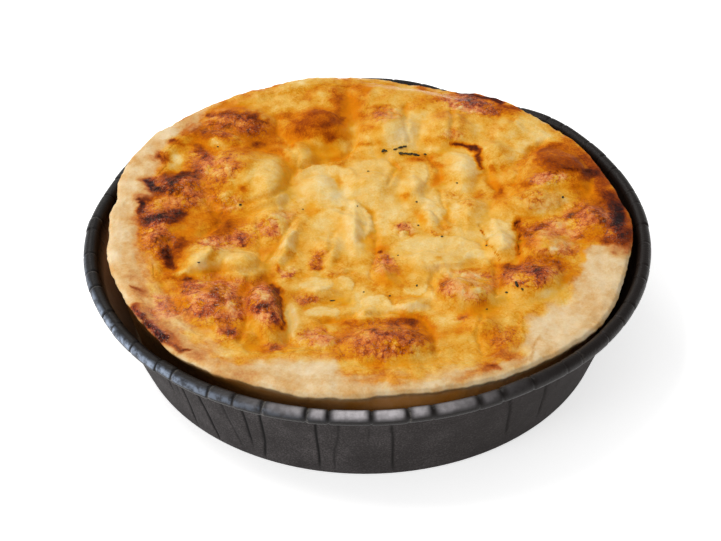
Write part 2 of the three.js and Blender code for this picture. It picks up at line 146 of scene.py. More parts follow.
# Browning: x, y, half length, half width, turn in degrees, how far it is baked (0 cream to 1 burnt black).
# Broad tones come first and fine ones last, since each is laid over those before it.
BROWNING = [
    # Broad tones of the ring and of the sunken middle
    (-40, 8, 11, 16, 0, 0.45), (-24, 17, 7, 9, 0, 0.26), (-24, 47, 13, 4, 22, 0.34),
    (-4, 45, 4.5, 9, 0, 0.5), (8, 48, 9, 5, 0, 0.28), (6, 35, 7, 7, 0, 0.24), (20, 34, 6, 7, 0, 0.28),
    (37, 34, 6, 8, 25, 0.22), (42, 15, 9, 9, 15, 0.42), (50, 0, 6, 12, 0, 0.56), (39, 5, 8, 5, 15, 0.28),
    (39, -7, 8, 9, 0, 0.31), (34, -19, 9, 6, 15, 0.48), (20, -23, 8, 6, -15, 0.33),
    (23, -34, 7, 6, 0, 0.28), (2, -40, 12, 8, 0, 0.54), (-11, -39, 6, 4, 0, 0.42),
    (-29, -27, 11, 10, -30, 0.5), (-20, -28, 4.5, 10, 10, 0.5), (-24, -39, 6, 5, 0, 0.38),
    (-45, -5, 5, 8, 15, 0.52), (-30, -10, 9, 6, 10, 0.32), (-20, 0, 6, 8, -10, 0.38),
    (14, -46, 13, 4, 5, 0.26), (0, 2, 18, 18, 0, 0.15), (15, -10, 12, 6, 0, 0.15), (20, 19, 6, 8, 0, 0.2),
    (-8, -22, 9, 5, 0, 0.24), (27, -7, 5, 8, 0, 0.13), (38, -27, 8, 3, 10, 0.24), (28, 10, 6, 7, 0, 0.26),
    (-9, 23, 6, 5, 0, 0.34), (30, 26, 4, 7, 0, 0.25),
    # Back left: crown, its ridge and the mound
    (-30.5, 45.4, 4, 1.8, 25, 0.46), (-22, 46.5, 4, 2.6, 20, 0.26), (-17, 43.5, 2.4, 2.4, 0, 0.16),
    (-30, 36.4, 9.5, 6, -12, 0.55), (-37.5, 37, 2.6, 3.4, 20, 0.38), (-26.6, 39.2, 4.2, 2.2, -22, 0.62),
    (-25.4, 39.2, 2.2, 1.3, -20, 0.72), (-33.5, 40.9, 3, 1.2, 8, 0.58), (-23, 37.4, 0.9, 1.3, 10, 0.36),
    (-29, 37, 2.6, 0.8, -25, 0.4), (-33, 38.4, 3, 0.9, -20, 0.4), (-32.6, 35.2, 3.4, 1.8, -10, 0.6),
    (-25, 33.4, 3.8, 2, -8, 0.57), (-29.6, 32.4, 2.6, 1.2, -15, 0.43), (-36, 31.6, 2.6, 1.4, 0, 0.43),
    (-24.2, 28.4, 4.4, 1.5, -38, 0.62), (-20.4, 31.6, 1.4, 1.4, 0, 0.44),
    # The cream spot at (-33, 29.4) is a painted highlight
    (-18.6, 23.6, 0.9, 3.6, 30, 0.44), (-34, 33, 5, 2.4, -10, 0.5), (-33, 29.4, 1.3, 2, 35, 0.04),
    (-28, 28, 2, 2.4, 20, 0.42), (-16, 28.8, 3.6, 2.8, 0, 0.44), (-43, 29.8, 1.4, 0.9, 0, 0.8),
    (-42.6, 27, 1.5, 2.6, 0, 0.46), (-46, 24.4, 1.8, 1.1, 10, 0.8), (-48.2, 23.4, 1.6, 0.8, 30, 0.46),
    (-44.6, 22, 0.9, 2.2, 10, 0.62), (-42, 22.6, 1.9, 3, 0, 0.05), (-37.3, 27.2, 1.2, 2.4, 20, 0.64),
    (-36.2, 24.6, 1.7, 0.7, -30, 0.72), (-35, 22.8, 0.8, 1.8, 20, 0.6), (-37, 20, 2.8, 3.6, 0, 0.54),
    (-29.2, 21.6, 1, 2.4, 10, 0.6), (-28.6, 19, 1.1, 1.5, -10, 0.72), (-26.4, 11.8, 0.9, 1.6, 0, 0.64),
    (-22.6, 17, 3, 5.4, 0, 0.2), (-32, 18, 3, 6, 10, 0.4), (-27, 23, 4, 3, 0, 0.34),
    (-45, 19, 2.4, 2, 0, 0.4), (-41.8, 18.6, 1.6, 1.4, 0, 0.28), (-46.8, 24, 2.4, 1.8, 10, 0.74),
    # Left: charred spots and the crisp zone round them
    (-38, 12, 4.6, 5, 0, 0.5), (-45, 13.6, 3.4, 3.6, -30, 0.62), (-46.4, 13.2, 3.2, 1.3, -52, 0.94),
    (-42.2, 13.6, 1, 2.4, 20, 0.84), (-42.4, 10.8, 1.2, 1.1, 0, 0.78), (-40.2, 16.8, 2.9, 1.6, 18, 0.92),
    (-37.6, 15.4, 1.6, 1.6, 0, 0.7), (-38, 9.6, 2, 2, 0, 0.5), (-42, 8.3, 3.6, 0.9, 12, 0.3),
    (-46.6, 8.8, 2.2, 1.4, 30, 0.64), (-48.2, 6, 1.1, 2.6, 8, 0.95), (-48.6, 3.6, 0.8, 1.2, 0, 0.82),
    (-44.6, 1.2, 3.6, 1.7, 8, 0.93), (-40, 2.8, 1.2, 2.5, 25, 0.92), (-41.4, 0, 2, 1.6, 0, 0.74),
    (-46.6, -0.6, 1.6, 1, 0, 0.76), (-44.4, 5, 2.2, 1.4, 0, 0.46), (-34, 6, 3, 3, 0, 0.38),
    (-35.6, 1, 2.6, 4.4, 10, 0.44), (-30.6, -0.6, 3, 4.6, 10, 0.58),
    # Back: bulge, channel and the pale lump
    (-11, 37.2, 6.8, 5.4, 0, 0.6), (-8.4, 36.2, 2.4, 3.4, 10, 0.68), (-11, 40.6, 4, 1.3, 0, 0.62),
    (-16.4, 38.4, 1.8, 2.6, 20, 0.45), (-13, 33.6, 2.6, 2.4, 0, 0.5), (-8, 30.6, 1, 3, 10, 0.56),
    (-17, 33, 2, 2.4, 0, 0.42), (-5.6, 37, 1, 2.4, 0, 0.6), (-13.6, 29.6, 1.2, 3, 10, 0.4),
    (-14, 26, 2.6, 3.4, 10, 0.22), (-19, 29.6, 1.6, 1.6, 0, 0.34), (-3.4, 43.4, 2.2, 2.8, 10, 0.52),
    (-5, 47.6, 1.8, 2.6, 0, 0.48), (0.4, 49.6, 1.4, 3, -8, 0.44), (-2.6, 38, 1.2, 3, 0, 0.42),
    (4.6, 42.4, 4, 0.9, 0, 0.4), (0.8, 40, 1, 1.6, 20, 0.32), (3.4, 38.6, 3.2, 2, 0, 0.36),
    (7.8, 33.4, 4.4, 5, 0, 0.16), (1.6, 34, 1.2, 2, 20, 0.38), (-2, 33.8, 1.4, 2, 0, 0.2),
    (0, 27.5, 3, 0.9, 5, 0.47), (12.6, 42.8, 0.9, 2.4, 25, 0.38), (12, 34, 2, 5, -10, 0.15),
    (17.6, 29, 2.4, 1.8, -20, 0.4), (20.4, 31, 1.2, 2.6, -20, 0.42), (16.4, 36, 1.6, 3, 0, 0.22),
    # Back right: darker edge
    (13.6, 50.4, 1.2, 1.2, 0, 0.6), (20, 44.6, 4.4, 2.6, -20, 0.46), (25.6, 43.8, 3.6, 2.2, -28, 0.55),
    (32.6, 41, 3.4, 1.4, -30, 0.58), (28.4, 39.6, 2.6, 1.8, -20, 0.48), (22, 39.5, 1.4, 3, 10, 0.42),
    (17, 40.6, 1.2, 2.6, 10, 0.36), (24.6, 46.6, 4, 1, -26, 0.66), (28, 42.6, 3.4, 1.6, -28, 0.62),
    (21.4, 33, 1.4, 2, 0, 0.24), (25.4, 33, 1.6, 3, 10, 0.2), (38, 35, 3, 4, 30, 0.16),
    (30.4, 23.4, 2, 0.8, 25, 0.42), (32.2, 26.6, 0.7, 3, 10, 0.36), (28.4, 30, 0.8, 2.6, -10, 0.36),
    (28, 17.2, 0.8, 1.5, 5, 0.62), (30.6, 17, 0.8, 1.6, 0, 0.44), (27.6, 12, 1.5, 4.6, 0, 0.42),
    (28.7, 8.8, 0.9, 1.5, 0, 0.54), (15, 19.4, 1.8, 3.6, 28, 0.44), (15.4, 13.4, 1.1, 3, 5, 0.42),
    (24.2, 8, 0.8, 2, 30, 0.44), (21.6, 20, 2.4, 4.4, 0, 0.08),
    # Dome and burnt edge at the right
    (42.6, 20.6, 8, 6.8, 15, 0.6), (42.8, 19.4, 5.4, 3, 10, 0.72), (41, 24.6, 4, 1.8, 20, 0.64),
    # The pale band at (40, 13.4) under the dome is a painted highlight
    (46.4, 22.6, 2, 2.4, -30, 0.5), (48.8, 14.8, 2.6, 2.6, 10, 0.76), (40, 13.4, 4.6, 1.5, 5, 0.34),
    (44.6, 13.4, 2, 1.8, 0, 0.44), (37, 16.6, 1.6, 2.6, -20, 0.42), (35.6, 11.5, 2.8, 0.7, 18, 0.52),
    (35.8, 19, 0.9, 4.4, -14, 0.36), (35.6, 26.4, 2.4, 1.6, 0, 0.22), (40, 9, 3.6, 2, 0, 0.32),
    (47, 9.4, 2, 3.4, 5, 0.47), (50.4, 11.4, 1.2, 2, 0, 0.5), (51.8, 6.4, 1.6, 3.4, 10, 0.8),
    (52.8, 0, 2.4, 6.4, 2, 0.93), (50.2, 1.4, 1.6, 3, 10, 0.58), (53.4, -6.4, 2.2, 3.4, 0, 0.86),
    (49.4, -2.8, 0.9, 1.6, 5, 0.68), (51, -9, 4, 2, -24, 0.76), (48.6, -6.4, 2, 1.6, 0, 0.5),
    (44, 0, 2.8, 1.2, 5, 0.58), (40.6, 4, 2.6, 1.4, 20, 0.26),
    # Ring at the right and right front
    (36.8, -4.4, 1.9, 1.6, 30, 0.66), (43.6, -7.8, 1.7, 1.3, 20, 0.68), (42, -12.6, 1.2, 1.5, 0, 0.64),
    (36.6, -12.2, 0.8, 0.8, 0, 0.6), (33.4, -8, 1.8, 4.6, 5, 0.56), (40, -3, 2, 1.6, 0, 0.36),
    (39, -10, 2, 1.6, 0, 0.36), (31.5, -9, 0.4, 4.6, 0, 0.74), (30, -17.2, 3.2, 1.6, 15, 0.68),
    (34.6, -19.6, 1.3, 2.6, 25, 0.76), (37.8, -17.4, 3, 2, 20, 0.58), (31.6, -22.6, 2.6, 2, 0, 0.42),
    (28, -20, 1, 2.6, -20, 0.58), (25, -17.6, 1.4, 2.4, 0, 0.34), (40.4, -21, 0.9, 3, -25, 0.42),
    (15.6, -22, 1.3, 1.2, 30, 0.76), (13.6, -18, 2.6, 1.6, 0, 0.2), (20.4, -18.2, 3.8, 0.8, 10, 0.48),
    (24.4, -20.4, 1, 2, 30, 0.5), (19, -24.6, 3.4, 2, -30, 0.34), (22.4, -28.6, 1.6, 1.2, 0, 0.52),
    (18.4, -32.6, 1.5, 1.1, 20, 0.6), (21.4, -31, 2.4, 1.6, 0, 0.4), (26, -39, 3, 3.6, 0, 0.5),
    (24.3, -48, 1.2, 1.5, 0, 0.56), (19.4, -49.5, 2.6, 0.7, 8, 0.46), (44, -30, 1.2, 1.4, 0, 0.46),
    (40.2, -38.4, 0.7, 1, -30, 0.5), (42.8, -36, 1, 0.7, 0, 0.44),
    # Front hump
    (8.4, -34, 2.4, 1.6, -15, 0.76), (9, -37.6, 2.5, 1.6, 0, 0.64), (2.6, -37, 2.8, 1, -15, 0.68),
    (-3.4, -34.3, 1.8, 0.9, 0, 0.62), (-2, -42.4, 1.6, 1.9, 0, 0.6), (6, -43, 1.8, 2, 0, 0.58),
    (11.6, -38, 0.9, 3.6, 15, 0.56), (5, -33, 2.4, 0.8, 20, 0.5), (-1, -38.6, 2, 1.4, 0, 0.42),
    (4, -40.4, 2, 1.2, 0, 0.44), (-9.4, -38, 3.8, 2.8, 0, 0.37), (-7.6, -36, 1.4, 1, 0, 0.28),
    (-12.4, -41.4, 2.8, 1.3, 0, 0.36), (-18, -41.6, 2.2, 1.3, 0, 0.54), (4, -49, 9, 2.4, 3, 0.33),
    # Slab, ridge and flap at the left front
    (-45, -6, 3, 5, 18, 0.52), (-41.2, -12, 1.2, 4.8, 10, 0.72), (-40.2, -15.4, 0.7, 2, 12, 0.82),
    (-38.6, -7.6, 2.2, 3, 10, 0.58), (-26, -6.8, 1.2, 1.4, 0, 0.62), (-34.4, -13.6, 2.8, 5, -32, 0.17),
    (-34.6, -9, 2, 1.2, 10, 0.12), (-31.6, -11, 0.9, 3, -10, 0.46), (-26.4, -13, 4, 3.4, 0, 0.16),
    (-29, -12.7, 0.8, 0.8, 0, 0.0), (-26, -17, 3, 2, 0, 0.3), (-36.6, -20, 1.5, 1, 10, 0.8),
    (-35.6, -22, 2.2, 1.6, 0, 0.58), (-30, -23.4, 2.4, 2, 0, 0.58), (-32.4, -23, 1, 1.6, 0, 0.4),
    (-25.5, -24, 1, 2.4, 0, 0.44), (-34, -30.6, 2.4, 1.4, -20, 0.52), (-27, -36.4, 1.1, 2.2, 25, 0.74),
    (-28, -33, 2, 1.6, 0, 0.5), (-27.6, -27.6, 2.6, 2.2, 0, 0.42), (-24, -36, 2.4, 2.6, 0, 0.34),
    (-21, -22.4, 2, 1.8, 0, 0.6), (-21, -26, 1.5, 1.5, 0, 0.3), (-18.6, -23.6, 0.9, 1.8, 25, 0.76),
    (-18, -27.6, 0.8, 2.8, 0, 0.66), (-21.6, -29, 2.2, 0.8, 25, 0.74), (-21.6, -32, 1.7, 2, 0, 0.44),
    (-18.5, -33, 0.7, 3.2, 18, 0.72), (-15, -33, 1.6, 5, 3, 0.07),
    # Stained pastry at the left front, and the pale pastry of the front
    (-46.6, -20, 2.4, 7, 15, 0.48), (-41, -30, 9, 4, -56, 0.36), (-42.6, -25.4, 4, 1.2, -62, 0.5),
    (-40, -33, 4, 1, -54, 0.16), (-46, -17, 2, 6, 12, 0.42), (-36, -38, 5, 2, -50, 0.4),
    (-37.6, -30.4, 5, 0.9, -55, 0.5), (-44, -22, 3, 1.2, -65, 0.2), (-30, -44, 5, 2.4, -30, 0.48),
    (-33.6, -43.6, 2, 1, -30, 0.54), (-24, -48, 4, 2, -15, 0.46), (-36.6, -35.4, 4.4, 0.9, -52, 0.26),
    (-28, -42.5, 2.4, 1.4, -30, 0.2), (-12, -47.4, 7, 2.8, 0, 0.14), (-20, -46.6, 3, 2, 0, 0.34),
    (48, -18, 4, 8, 0, 0.26), (39, -36, 5, 3, 35, 0.14),
    # Sunken middle
    (-18.6, -3, 3, 3.6, 0, 0.4), (-17, -6.6, 1.3, 7, -20, 0.1), (-16.5, -18.6, 0.8, 1.8, 20, 0.52),
    (-18, -16.4, 0.5, 1.4, 0, 0.58), (-10.2, -16.6, 1.3, 0.7, 10, 0.72),
    (-9.3, -13.4, 0.8, 2.6, -25, 0.52), (-12.6, -27, 1.6, 2.3, 0, 0.54), (-9, -22, 4, 2, 0, 0.15),
    (-9, -31, 3.6, 1.5, 5, 0.13), (0, -29, 2.5, 3.6, 0, 0.14), (8.6, -29.8, 4, 1.4, 0, 0.1),
    (6, -28.4, 1.2, 0.7, 20, 0.36), (1.4, -31.6, 3.4, 1.1, 0, 0.2), (4.4, -15.6, 1.7, 3.6, 20, 0.48),
    (2.3, -11.2, 0.9, 0.9, 0, 0.58), (3.4, -22.4, 2, 1.5, 0, 0.38), (7.6, -3.4, 1.8, 1.8, 0, 0.42),
    (9.4, -6, 0.8, 1.6, 0, 0.44), (16.4, -3.6, 2, 1.4, 0, 0.34), (15.6, -6, 1.8, 1, 0, 0.36),
    (22.6, -13.2, 2.5, 1.5, 8, 0.07), (-9.4, 14.6, 2, 4, 0, 0.07), (-5, 7.4, 3, 1.6, 0, 0.06),
    (-3, -4, 1.8, 7.6, 8, 0.08), (-5.4, 14, 0.6, 3.4, 0, 0.33), (-5.3, 3.4, 1.2, 0.9, 0, 0.5),
    (8.3, 7.8, 0.9, 1.5, 0, 0.43), (6.6, 17.6, 1.2, 2.6, 20, 0.36), (10.6, 15.6, 1.8, 3.4, 0, 0.12),
    (17.2, 1.4, 0.7, 4.4, -15, 0.36), (11.6, -0.6, 0.8, 3, 15, 0.34), (0.4, 2.6, 0.8, 1.8, 20, 0.32),
    (28, -7, 2, 4, 0, 0.09), (31.6, -2.7, 1, 1.7, 0, 0.88), (-11.6, 3, 1.4, 3, 0, 0.3),
    (14, 3, 1.4, 4, 15, 0.1), (24.6, -5, 1.6, 1.6, 0, 0.27), (14.3, -14, 0.8, 0.7, 0, 0.42),
]

# Places baked further, or less, than the patches make them: x, y, half length, half width, turn in degrees,
# how much more
DEEPER = [
    # Ring
    (-35, 32, 5, 4, 0, 0.1), (-21, 28, 6, 4, 0, 0.1), (-33, 12, 5, 4, 0, 0.04), (-30, -4, 7, 5, 15, 0.06),
    (-40, -11, 3, 5, 0, 0.12), (-22, -10, 4, 5, 0, 0.08), (-27, 24, 4, 3, 0, 0.06),
    (-18, 13, 2, 5, 0, 0.06), (-40, 38, 4, 4, 45, 0.12), (31, 9, 6, 5, 0, 0.08), (50, 14, 3, 5, 0, 0.12),
    (28, 41, 7, 3, -28, 0.08), (46, 4, 4, 4, 0, 0.08), (44, -10, 4, 4, 0, 0.05), (42, -28, 4, 3, 0, 0.08),
    (-31, -26, 8, 6, -35, 0.04), (22, -34, 4, 3, 0, 0.06), (-42, 18, 2.4, 2.4, 0, -0.1),
    (-49, 24, 2.6, 2.6, 0, -0.12), (-23, 42, 4, 3, 0, -0.1), (33, 25, 4, 4, 0, -0.05),
    (42, 10, 3, 3, 0, -0.06), (35, -27, 4, 3, 0, -0.08), (-27, -29, 2, 3, 0, -0.06),
    (-17, -37, 3, 3, 0, -0.06), (-8, -42, 4, 2, 0, -0.05), (43, 22, 5, 3.4, 15, -0.06),
    (39, -8, 4, 4, 0, -0.06), (20, -22, 4, 3, 0, -0.05), (-20, 4, 4, 4, 0, -0.05),
    (-37, 13, 3, 3, 0, -0.05), (37, 35, 4, 4, 30, 0.1), (-31, -8, 7, 3, 10, 0.1), (36, -5, 4, 3, 0, 0.1),
    (-33, 24, 4, 5, 0, 0.06), (-36, 9, 6, 3, 0, 0.05), (-27, 8, 3, 4, 0, 0.05),
    (34, 25, 3, 4, -20, -0.05), (52, 7, 2.4, 3, 0, -0.08), (-33, -16, 3, 2, 0, -0.07),
    (-25, -18, 3, 2, 0, -0.06), (40, 29, 3.4, 3, 0, -0.14), (14, -32, 3, 3, 0, -0.08),
    # Back and sunken middle
    (2, 42, 4, 7, 0, 0.07), (4, 39, 3.6, 2.4, 0, 0.1), (20, 31, 3, 3, 0, 0.06), (14, 22, 4, 4, 0, 0.08),
    (9, 31, 3, 4, 0, -0.08), (2, -9, 3, 5, 8, 0.14), (0, -6, 22, 24, 0, 0.03), (5, -22, 6, 5, 0, 0.06),
    (27, -12, 5, 3, 0, 0.06), (15, -17, 6, 3, 0, -0.08), (3, -33, 6, 1.5, 0, -0.06),
    (-17, 8, 2, 4, 0, -0.06), (-6, 15, 0.9, 3.4, 10, 0.2), (-9, 11, 6, 6, 0, -0.08),
    (20, 20, 3, 4, 0, 0.05), (14.5, 36, 3, 3, 0, 0.06), (-9, 38.5, 3.4, 2, 0, -0.07),
    (-15, 33, 4, 4, 0, 0.1), (-8, 31, 2, 3, 0, 0.08), (29, 20, 4, 5, 0, -0.06), (28, 3, 3, 5, 0, 0.06),
    (27, -12, 4, 3, 0, 0.05), (9, 32, 3, 4, 0, -0.05), (-15, -7, 1.6, 4, -20, -0.08),
    (9, -21, 4, 2.4, 0, -0.06), (23, -1, 2.5, 4, 0, -0.05), (-18, 6, 2, 5, 0, -0.05),
    (-6, -21, 5, 4, 0, 0.06),
    # Stained and pale pastry
    (-46, -22, 3, 6, 20, 0.12), (-41, -31, 3, 6, 34, 0.06), (25, -46, 6, 4, 10, 0.12),
    (-20, -50, 6, 3, 0, 0.14), (0, -51, 9, 3, 0, 0.1), (15, -53, 5, 1.6, 0, -0.14),
    (38.5, -33.5, 4, 3, 35, 0.14), (52, -12, 4, 3, 0, 0.1), (-52, 8, 3, 16, 0, -0.1),
    (-50, 27, 2.4, 8, 25, -0.14), (-53, -8, 2.4, 8, -10, -0.1),
]

# Melted slices with a torn edge on one side, towards their width, which fade into the rest on the other:
# x, y, half length, half width, turn in degrees, how far it is baked, rise
SHEETS = [
    # Sunken middle
    (-9, 13.5, 7.4, 6.4, 12, 0.12, 0.3), (1, 15, 6.4, 6.6, 0, 0.17, 0.2),
    (10.4, 15.5, 5.6, 3.4, -90, 0.13, 0.25), (21, 19, 5.6, 4.2, -45, 0.08, 0.3),
    (-3.4, -0.4, 7.6, 4.4, -70, 0.09, 0.35), (13.4, 2.4, 4.8, 2.2, -70, 0.11, 0.25),
    (-16, -6, 7.0, 1.8, 110, 0.12, 0.3), (27.2, -6.4, 5.6, 3.4, -90, 0.11, 0.3),
    (14.5, -11.4, 9.6, 5.0, 0, 0.13, 0.3), (22.6, -13.6, 2.8, 2.2, 8, 0.04, 0.2),
    # Front of the middle
    (-10.4, -22, 3.6, 2.6, 190, 0.1, 0.25), (-4.8, -22, 2.4, 2.0, -60, 0.1, 0.25),
    (1.8, -28.8, 3.0, 3.2, -30, 0.08, 0.3), (9.4, -23.6, 2.6, 2.8, 200, 0.06, 0.25),
    (8.4, -30, 4.2, 1.8, 0, 0.08, 0.25), (-9, -31, 3.8, 1.8, 5, 0.1, 0.25),
    (-14.8, -33, 5.4, 1.9, 93, 0.06, 0.3),
    # Left mound, flap and the slice behind it
    (-22, 16, 6.4, 4.0, -90, 0.16, 0.25), (-26.4, -13.6, 4.4, 3.6, 10, 0.2, 0.2),
    (-36.2, -14, 6.2, 2.6, -128, 0.15, 0.6),
    # Back and right
    (8, 33.4, 4.6, 4.2, 90, 0.15, 0.2), (38, 34, 5.0, 3.6, 120, 0.15, 0.2),
    (40.6, -26.6, 4.4, 2.2, 200, 0.2, 0.15),
]

# Crisp, crinkled zones: x, y, half length, half width, turn in degrees, strength
CRISP = [
    (-39, 11, 6, 7, 0, 0.6), (-44, 3, 5, 6, 0, 0.6), (-44, -6, 4, 7, 18, 0.6), (-46, 14, 4, 4, -40, 0.5),
    (-31, 6, 5, 4, 0, 0.8), (-36, 22, 4, 6, 10, 0.5), (-30, 36, 9, 6, -12, 0.55), (42, 20, 6, 5, 15, 0.1),
    # The pinkish crisp band at (39.5, 13.4) under the dome is partly a painted highlight
    (39.5, 13.4, 5, 2.4, 8, 0.95), (24, 43, 8, 4, -28, 0.9), (5, 39, 4, 4, 0, 0.6),
    (20, 31, 4, 3, 0, 0.5), (38, 5, 7, 5, 0, 0.45), (-30, -26, 9, 8, -35, 1.0),
    (-20.4, -28, 3.4, 8.4, 10, 0.85), (-28, -37, 3, 3, 0, 0.6), (-19, -2, 4.6, 5, -15, 0.7),
    (-31, -8, 6, 3.4, 10, 0.7), (3, -40, 9.6, 7, 0, 0.55), (-10, -39, 5, 3.6, 0, 0.7),
    (-18, -41, 3, 2, 0, 0.6), (20, -23, 7, 5.6, -15, 0.8), (33, -20, 8, 5, 12, 0.6),
    (39, -8, 7, 8, 0, 0.7), (46, 0, 5, 5, 0, 0.6), (52, -4, 3, 8, 0, 0.5), (26, -39, 3.4, 4, 0, 0.4),
    (-12, -27, 3, 2.6, 0, 0.6), (4, -16, 3, 5, 20, 0.7), (8, -4, 3, 3, 0, 0.6),
    (-10, -14, 2, 4, -20, 0.6), (-16.5, -18, 2, 3, 10, 0.6), (20, 5, 6, 5, 0, 0.35),
    (-16, 5, 4, 5, 0, 0.4), (18.4, -33, 2.4, 2, 0, 0.5), (-25, -5, 4, 4, 0, 0.5), (-6, -19, 3, 2, 0, 0.4),
    (16, -5, 3, 3, 0, 0.4), (-40, -30, 9, 3.6, -56, 0.9), (-31, 20, 5, 8, 0, 0.5),
    (-42, -34.6, 9, 2.4, -53, 1.0),
]

# Saturated orange oil in the folds, or with less than none where the cheese stays dry: x, y, half length,
# half width, turn in degrees, strength
OIL = [
    (-3.4, 42, 2.2, 8, -2, 0.8), (-8.6, 24, 5, 3.6, 20, 0.8), (-4.6, 34, 1.6, 5, -5, 0.7),
    (-17.6, 13, 1.9, 6, 0, 0.9), (-19, 10, 1.8, 2, 0, 0.6), (-33, 3, 4, 6, 0, 0.35),
    (-29, 1, 2.6, 5, 10, 0.35), (2, -9, 2.6, 4.4, 8, 0.8), (5, -20, 3, 4, 20, 0.7),
    (-4, -27.6, 2.4, 2.2, 0, 0.8), (13.6, -38, 1.2, 3.6, -10, 0.4), (11.8, -37, 0.9, 4.6, 15, 0.5),
    (11.6, -0.4, 0.8, 3.4, 15, 0.6), (6.4, 17, 1.4, 3, 20, 0.7), (33, 24, 7, 8, 30, -0.9),
    (40, 29, 4, 4, 0, -0.9), (14, -33, 3, 4, 0, -0.8), (20, -23, 4, 3, 0, 0.35), (5, 38, 3, 2.4, 0, 0.35),
    (-6, 15, 0.9, 3.2, 10, 0.6), (40.6, -21, 0.9, 3.6, -28, 0.9), (44.6, -13.4, 0.8, 4.6, -12, 0.9),
    (35.4, -10, 2.4, 2.6, 0, 0.7), (39, -9, 3, 2, 20, 0.6), (0, -51.4, 6, 1.2, 2, 0.6),
    (-29.6, 45, 4.6, 1.6, 25, 0.6), (26.4, -26, 1, 3.4, 0, 0.6), (-25.4, -24.6, 1.2, 3, 0, 0.7),
    (-32.2, -22.6, 1.2, 2, 0, 0.7), (-37, -26.6, 1.6, 2, 0, 0.6), (-29, -30, 1.8, 1.6, 0, 0.6),
    (-33, -17, 3, 1.6, 20, 0.4), (22, -31.4, 2.6, 1.6, 0, 0.5), (-23.6, -41.6, 2, 1, 0, 0.6),
    (0.6, 2.6, 0.9, 2, 20, 0.5), (17.4, 1, 0.8, 4.6, -15, 0.7), (-11.6, 2.6, 1.4, 3, 0, 0.5),
    (28, 13, 1.2, 4, 0, 0.5), (15.4, 13, 1.2, 3.4, 5, 0.6), (-38, -4, 3, 2, 0, 0.4),
    (0.4, 50, 1.2, 3, -8, 0.7), (-20.6, -13, 1.6, 5, -15, 0.5), (-42, -8, 1.4, 3, 10, 0.4),
    (47, 10, 1.8, 3.4, 5, 0.5), (36, -6.6, 2, 1.6, 30, 0.4), (33, -28.4, 3, 1.2, 15, 0.3),
    (32.4, -34, 1, 1.4, 0, 0.3), (16.6, -3.6, 1.4, 1.6, 0, 0.5), (-16.6, -36, 0.8, 4, 10, 0.5),
    (24, -24, 0.8, 4, 30, 0.5), (19, -22, 0.7, 4, 30, 0.4),
]

# Outline where baked cheese gives way to bare pastry, on the same plane: direction in degrees, radius,
# softness. Where the radius is larger than the crust's, cheese covers the edge.
FILM_EDGE = [
    (-180, 48.8, 0.8), (-174, 49.2, 0.8), (-168, 48.8, 1.0), (-161, 48.4, 3.0), (-154, 50.0, 4.2),
    (-148, 51.0, 4.6), (-141, 51.6, 4.6), (-132, 52.0, 4.4), (-125, 52.0, 3.6), (-118, 51.4, 2.4),
    (-112, 49.0, 1.8), (-105, 46.2, 1.6), (-98, 46.0, 1.8), (-95.5, 49.0, 2.4), (-90, 51.4, 3.0),
    (-79, 52.0, 3.4), (-70, 52.6, 3.4), (-63, 54.0, 3.0), (-57, 53.6, 2.4), (-52, 51.4, 1.6),
    (-50, 48.8, 1.0), (-45.5, 46.4, 0.9), (-40, 46.6, 1.6), (-36.2, 49.0, 2.4), (-33, 49.6, 2.6),
    (-30.6, 48.2, 1.6), (-25, 47.2, 0.6), (-16, 46.9, 0.5), (-13.4, 47.6, 0.7), (-12, 51.0, 2.0),
    (-10.6, 54.6, 2.2), (-8.6, 58.0, 1.6), (0, 60.0, 1.0), (60, 62.0, 1.5), (118, 62.0, 1.5),
    (128, 57.0, 1.4), (133, 54.4, 1.4), (139, 53.0, 1.2), (146, 53.0, 1.0), (152, 52.6, 1.0),
    (156, 50.0, 1.0), (162, 50.8, 1.0), (168, 47.6, 0.8), (174, 49.2, 0.8),
]

# Dark streaks: half width, how far it is baked, then x and y along the streak
STREAKS = [
    # Burnt edge at the left front with its reddish fringe, and the stains behind it
    (3.4, 0.6, -45, -29, -41.4, -34, -37, -40), (1.9, 0.76, -46.6, -28.4, -44, -32.4),
    (2.2, 0.82, -43.4, -33.4, -39.8, -38.4), (1.6, 0.7, -39.4, -39, -36.4, -42.2),
    (1.0, 0.74, -36.6, -42, -34.6, -41.6), (1.0, 0.68, -47.8, -21.4, -46.2, -22.8),
    (0.5, 0.5, -49.4, -17.4, -48, -21), (0.7, 0.55, -45.4, -25.6, -44.4, -28),
    (0.7, 0.52, -50.2, -11, -50, -14.4), (0.6, 0.5, -49.8, -14, -48.4, -19.6),
    # Burnt edge at the back right
    (1.2, 0.86, 22, 48.4, 26, 46.6, 29.4, 45.2, 31.4, 43.6), (1.6, 0.62, 31.4, 43, 35, 40.4),
    # Dark arc of a standing strand, and the line over the dome
    (1.2, 0.84, 19.8, 26.9, 21.6, 27.2, 23.4, 26.4, 24.5, 24.6),
    (0.9, 0.74, 24.5, 24.6, 25.1, 21.6, 25, 17.6), (1.1, 0.82, 43, 17.2, 46.6, 16.8, 50.4, 15.4),
    # Top of the crown, torn edge of the flap and flank of the ridge
    (1.7, 0.68, -36, 40.2, -31.6, 41, -27, 40, -22.8, 37.4),
    (1.0, 0.52, -39.4, -8.8, -36, -6.6, -31, -5.3, -27, -5.5), (0.9, 0.72, -27, -5.4, -25.2, -8.2),
    (0.8, 0.72, -19.4, -21.6, -17.6, -26, -17.2, -31, -16.8, -36),
    # Cracks, and an orange streak at the front
    (0.3, 0.7, 23.7, -4.5, 24.5, -6.5), (0.3, 0.5, 25, -8, 25, -10, 26.7, -12, 27.2, -15),
    (0.3, 0.66, 31.5, -4, 31.5, -13.6), (0.7, 0.5, 33.4, -39, 32, -42, 31.2, -46.4),
]

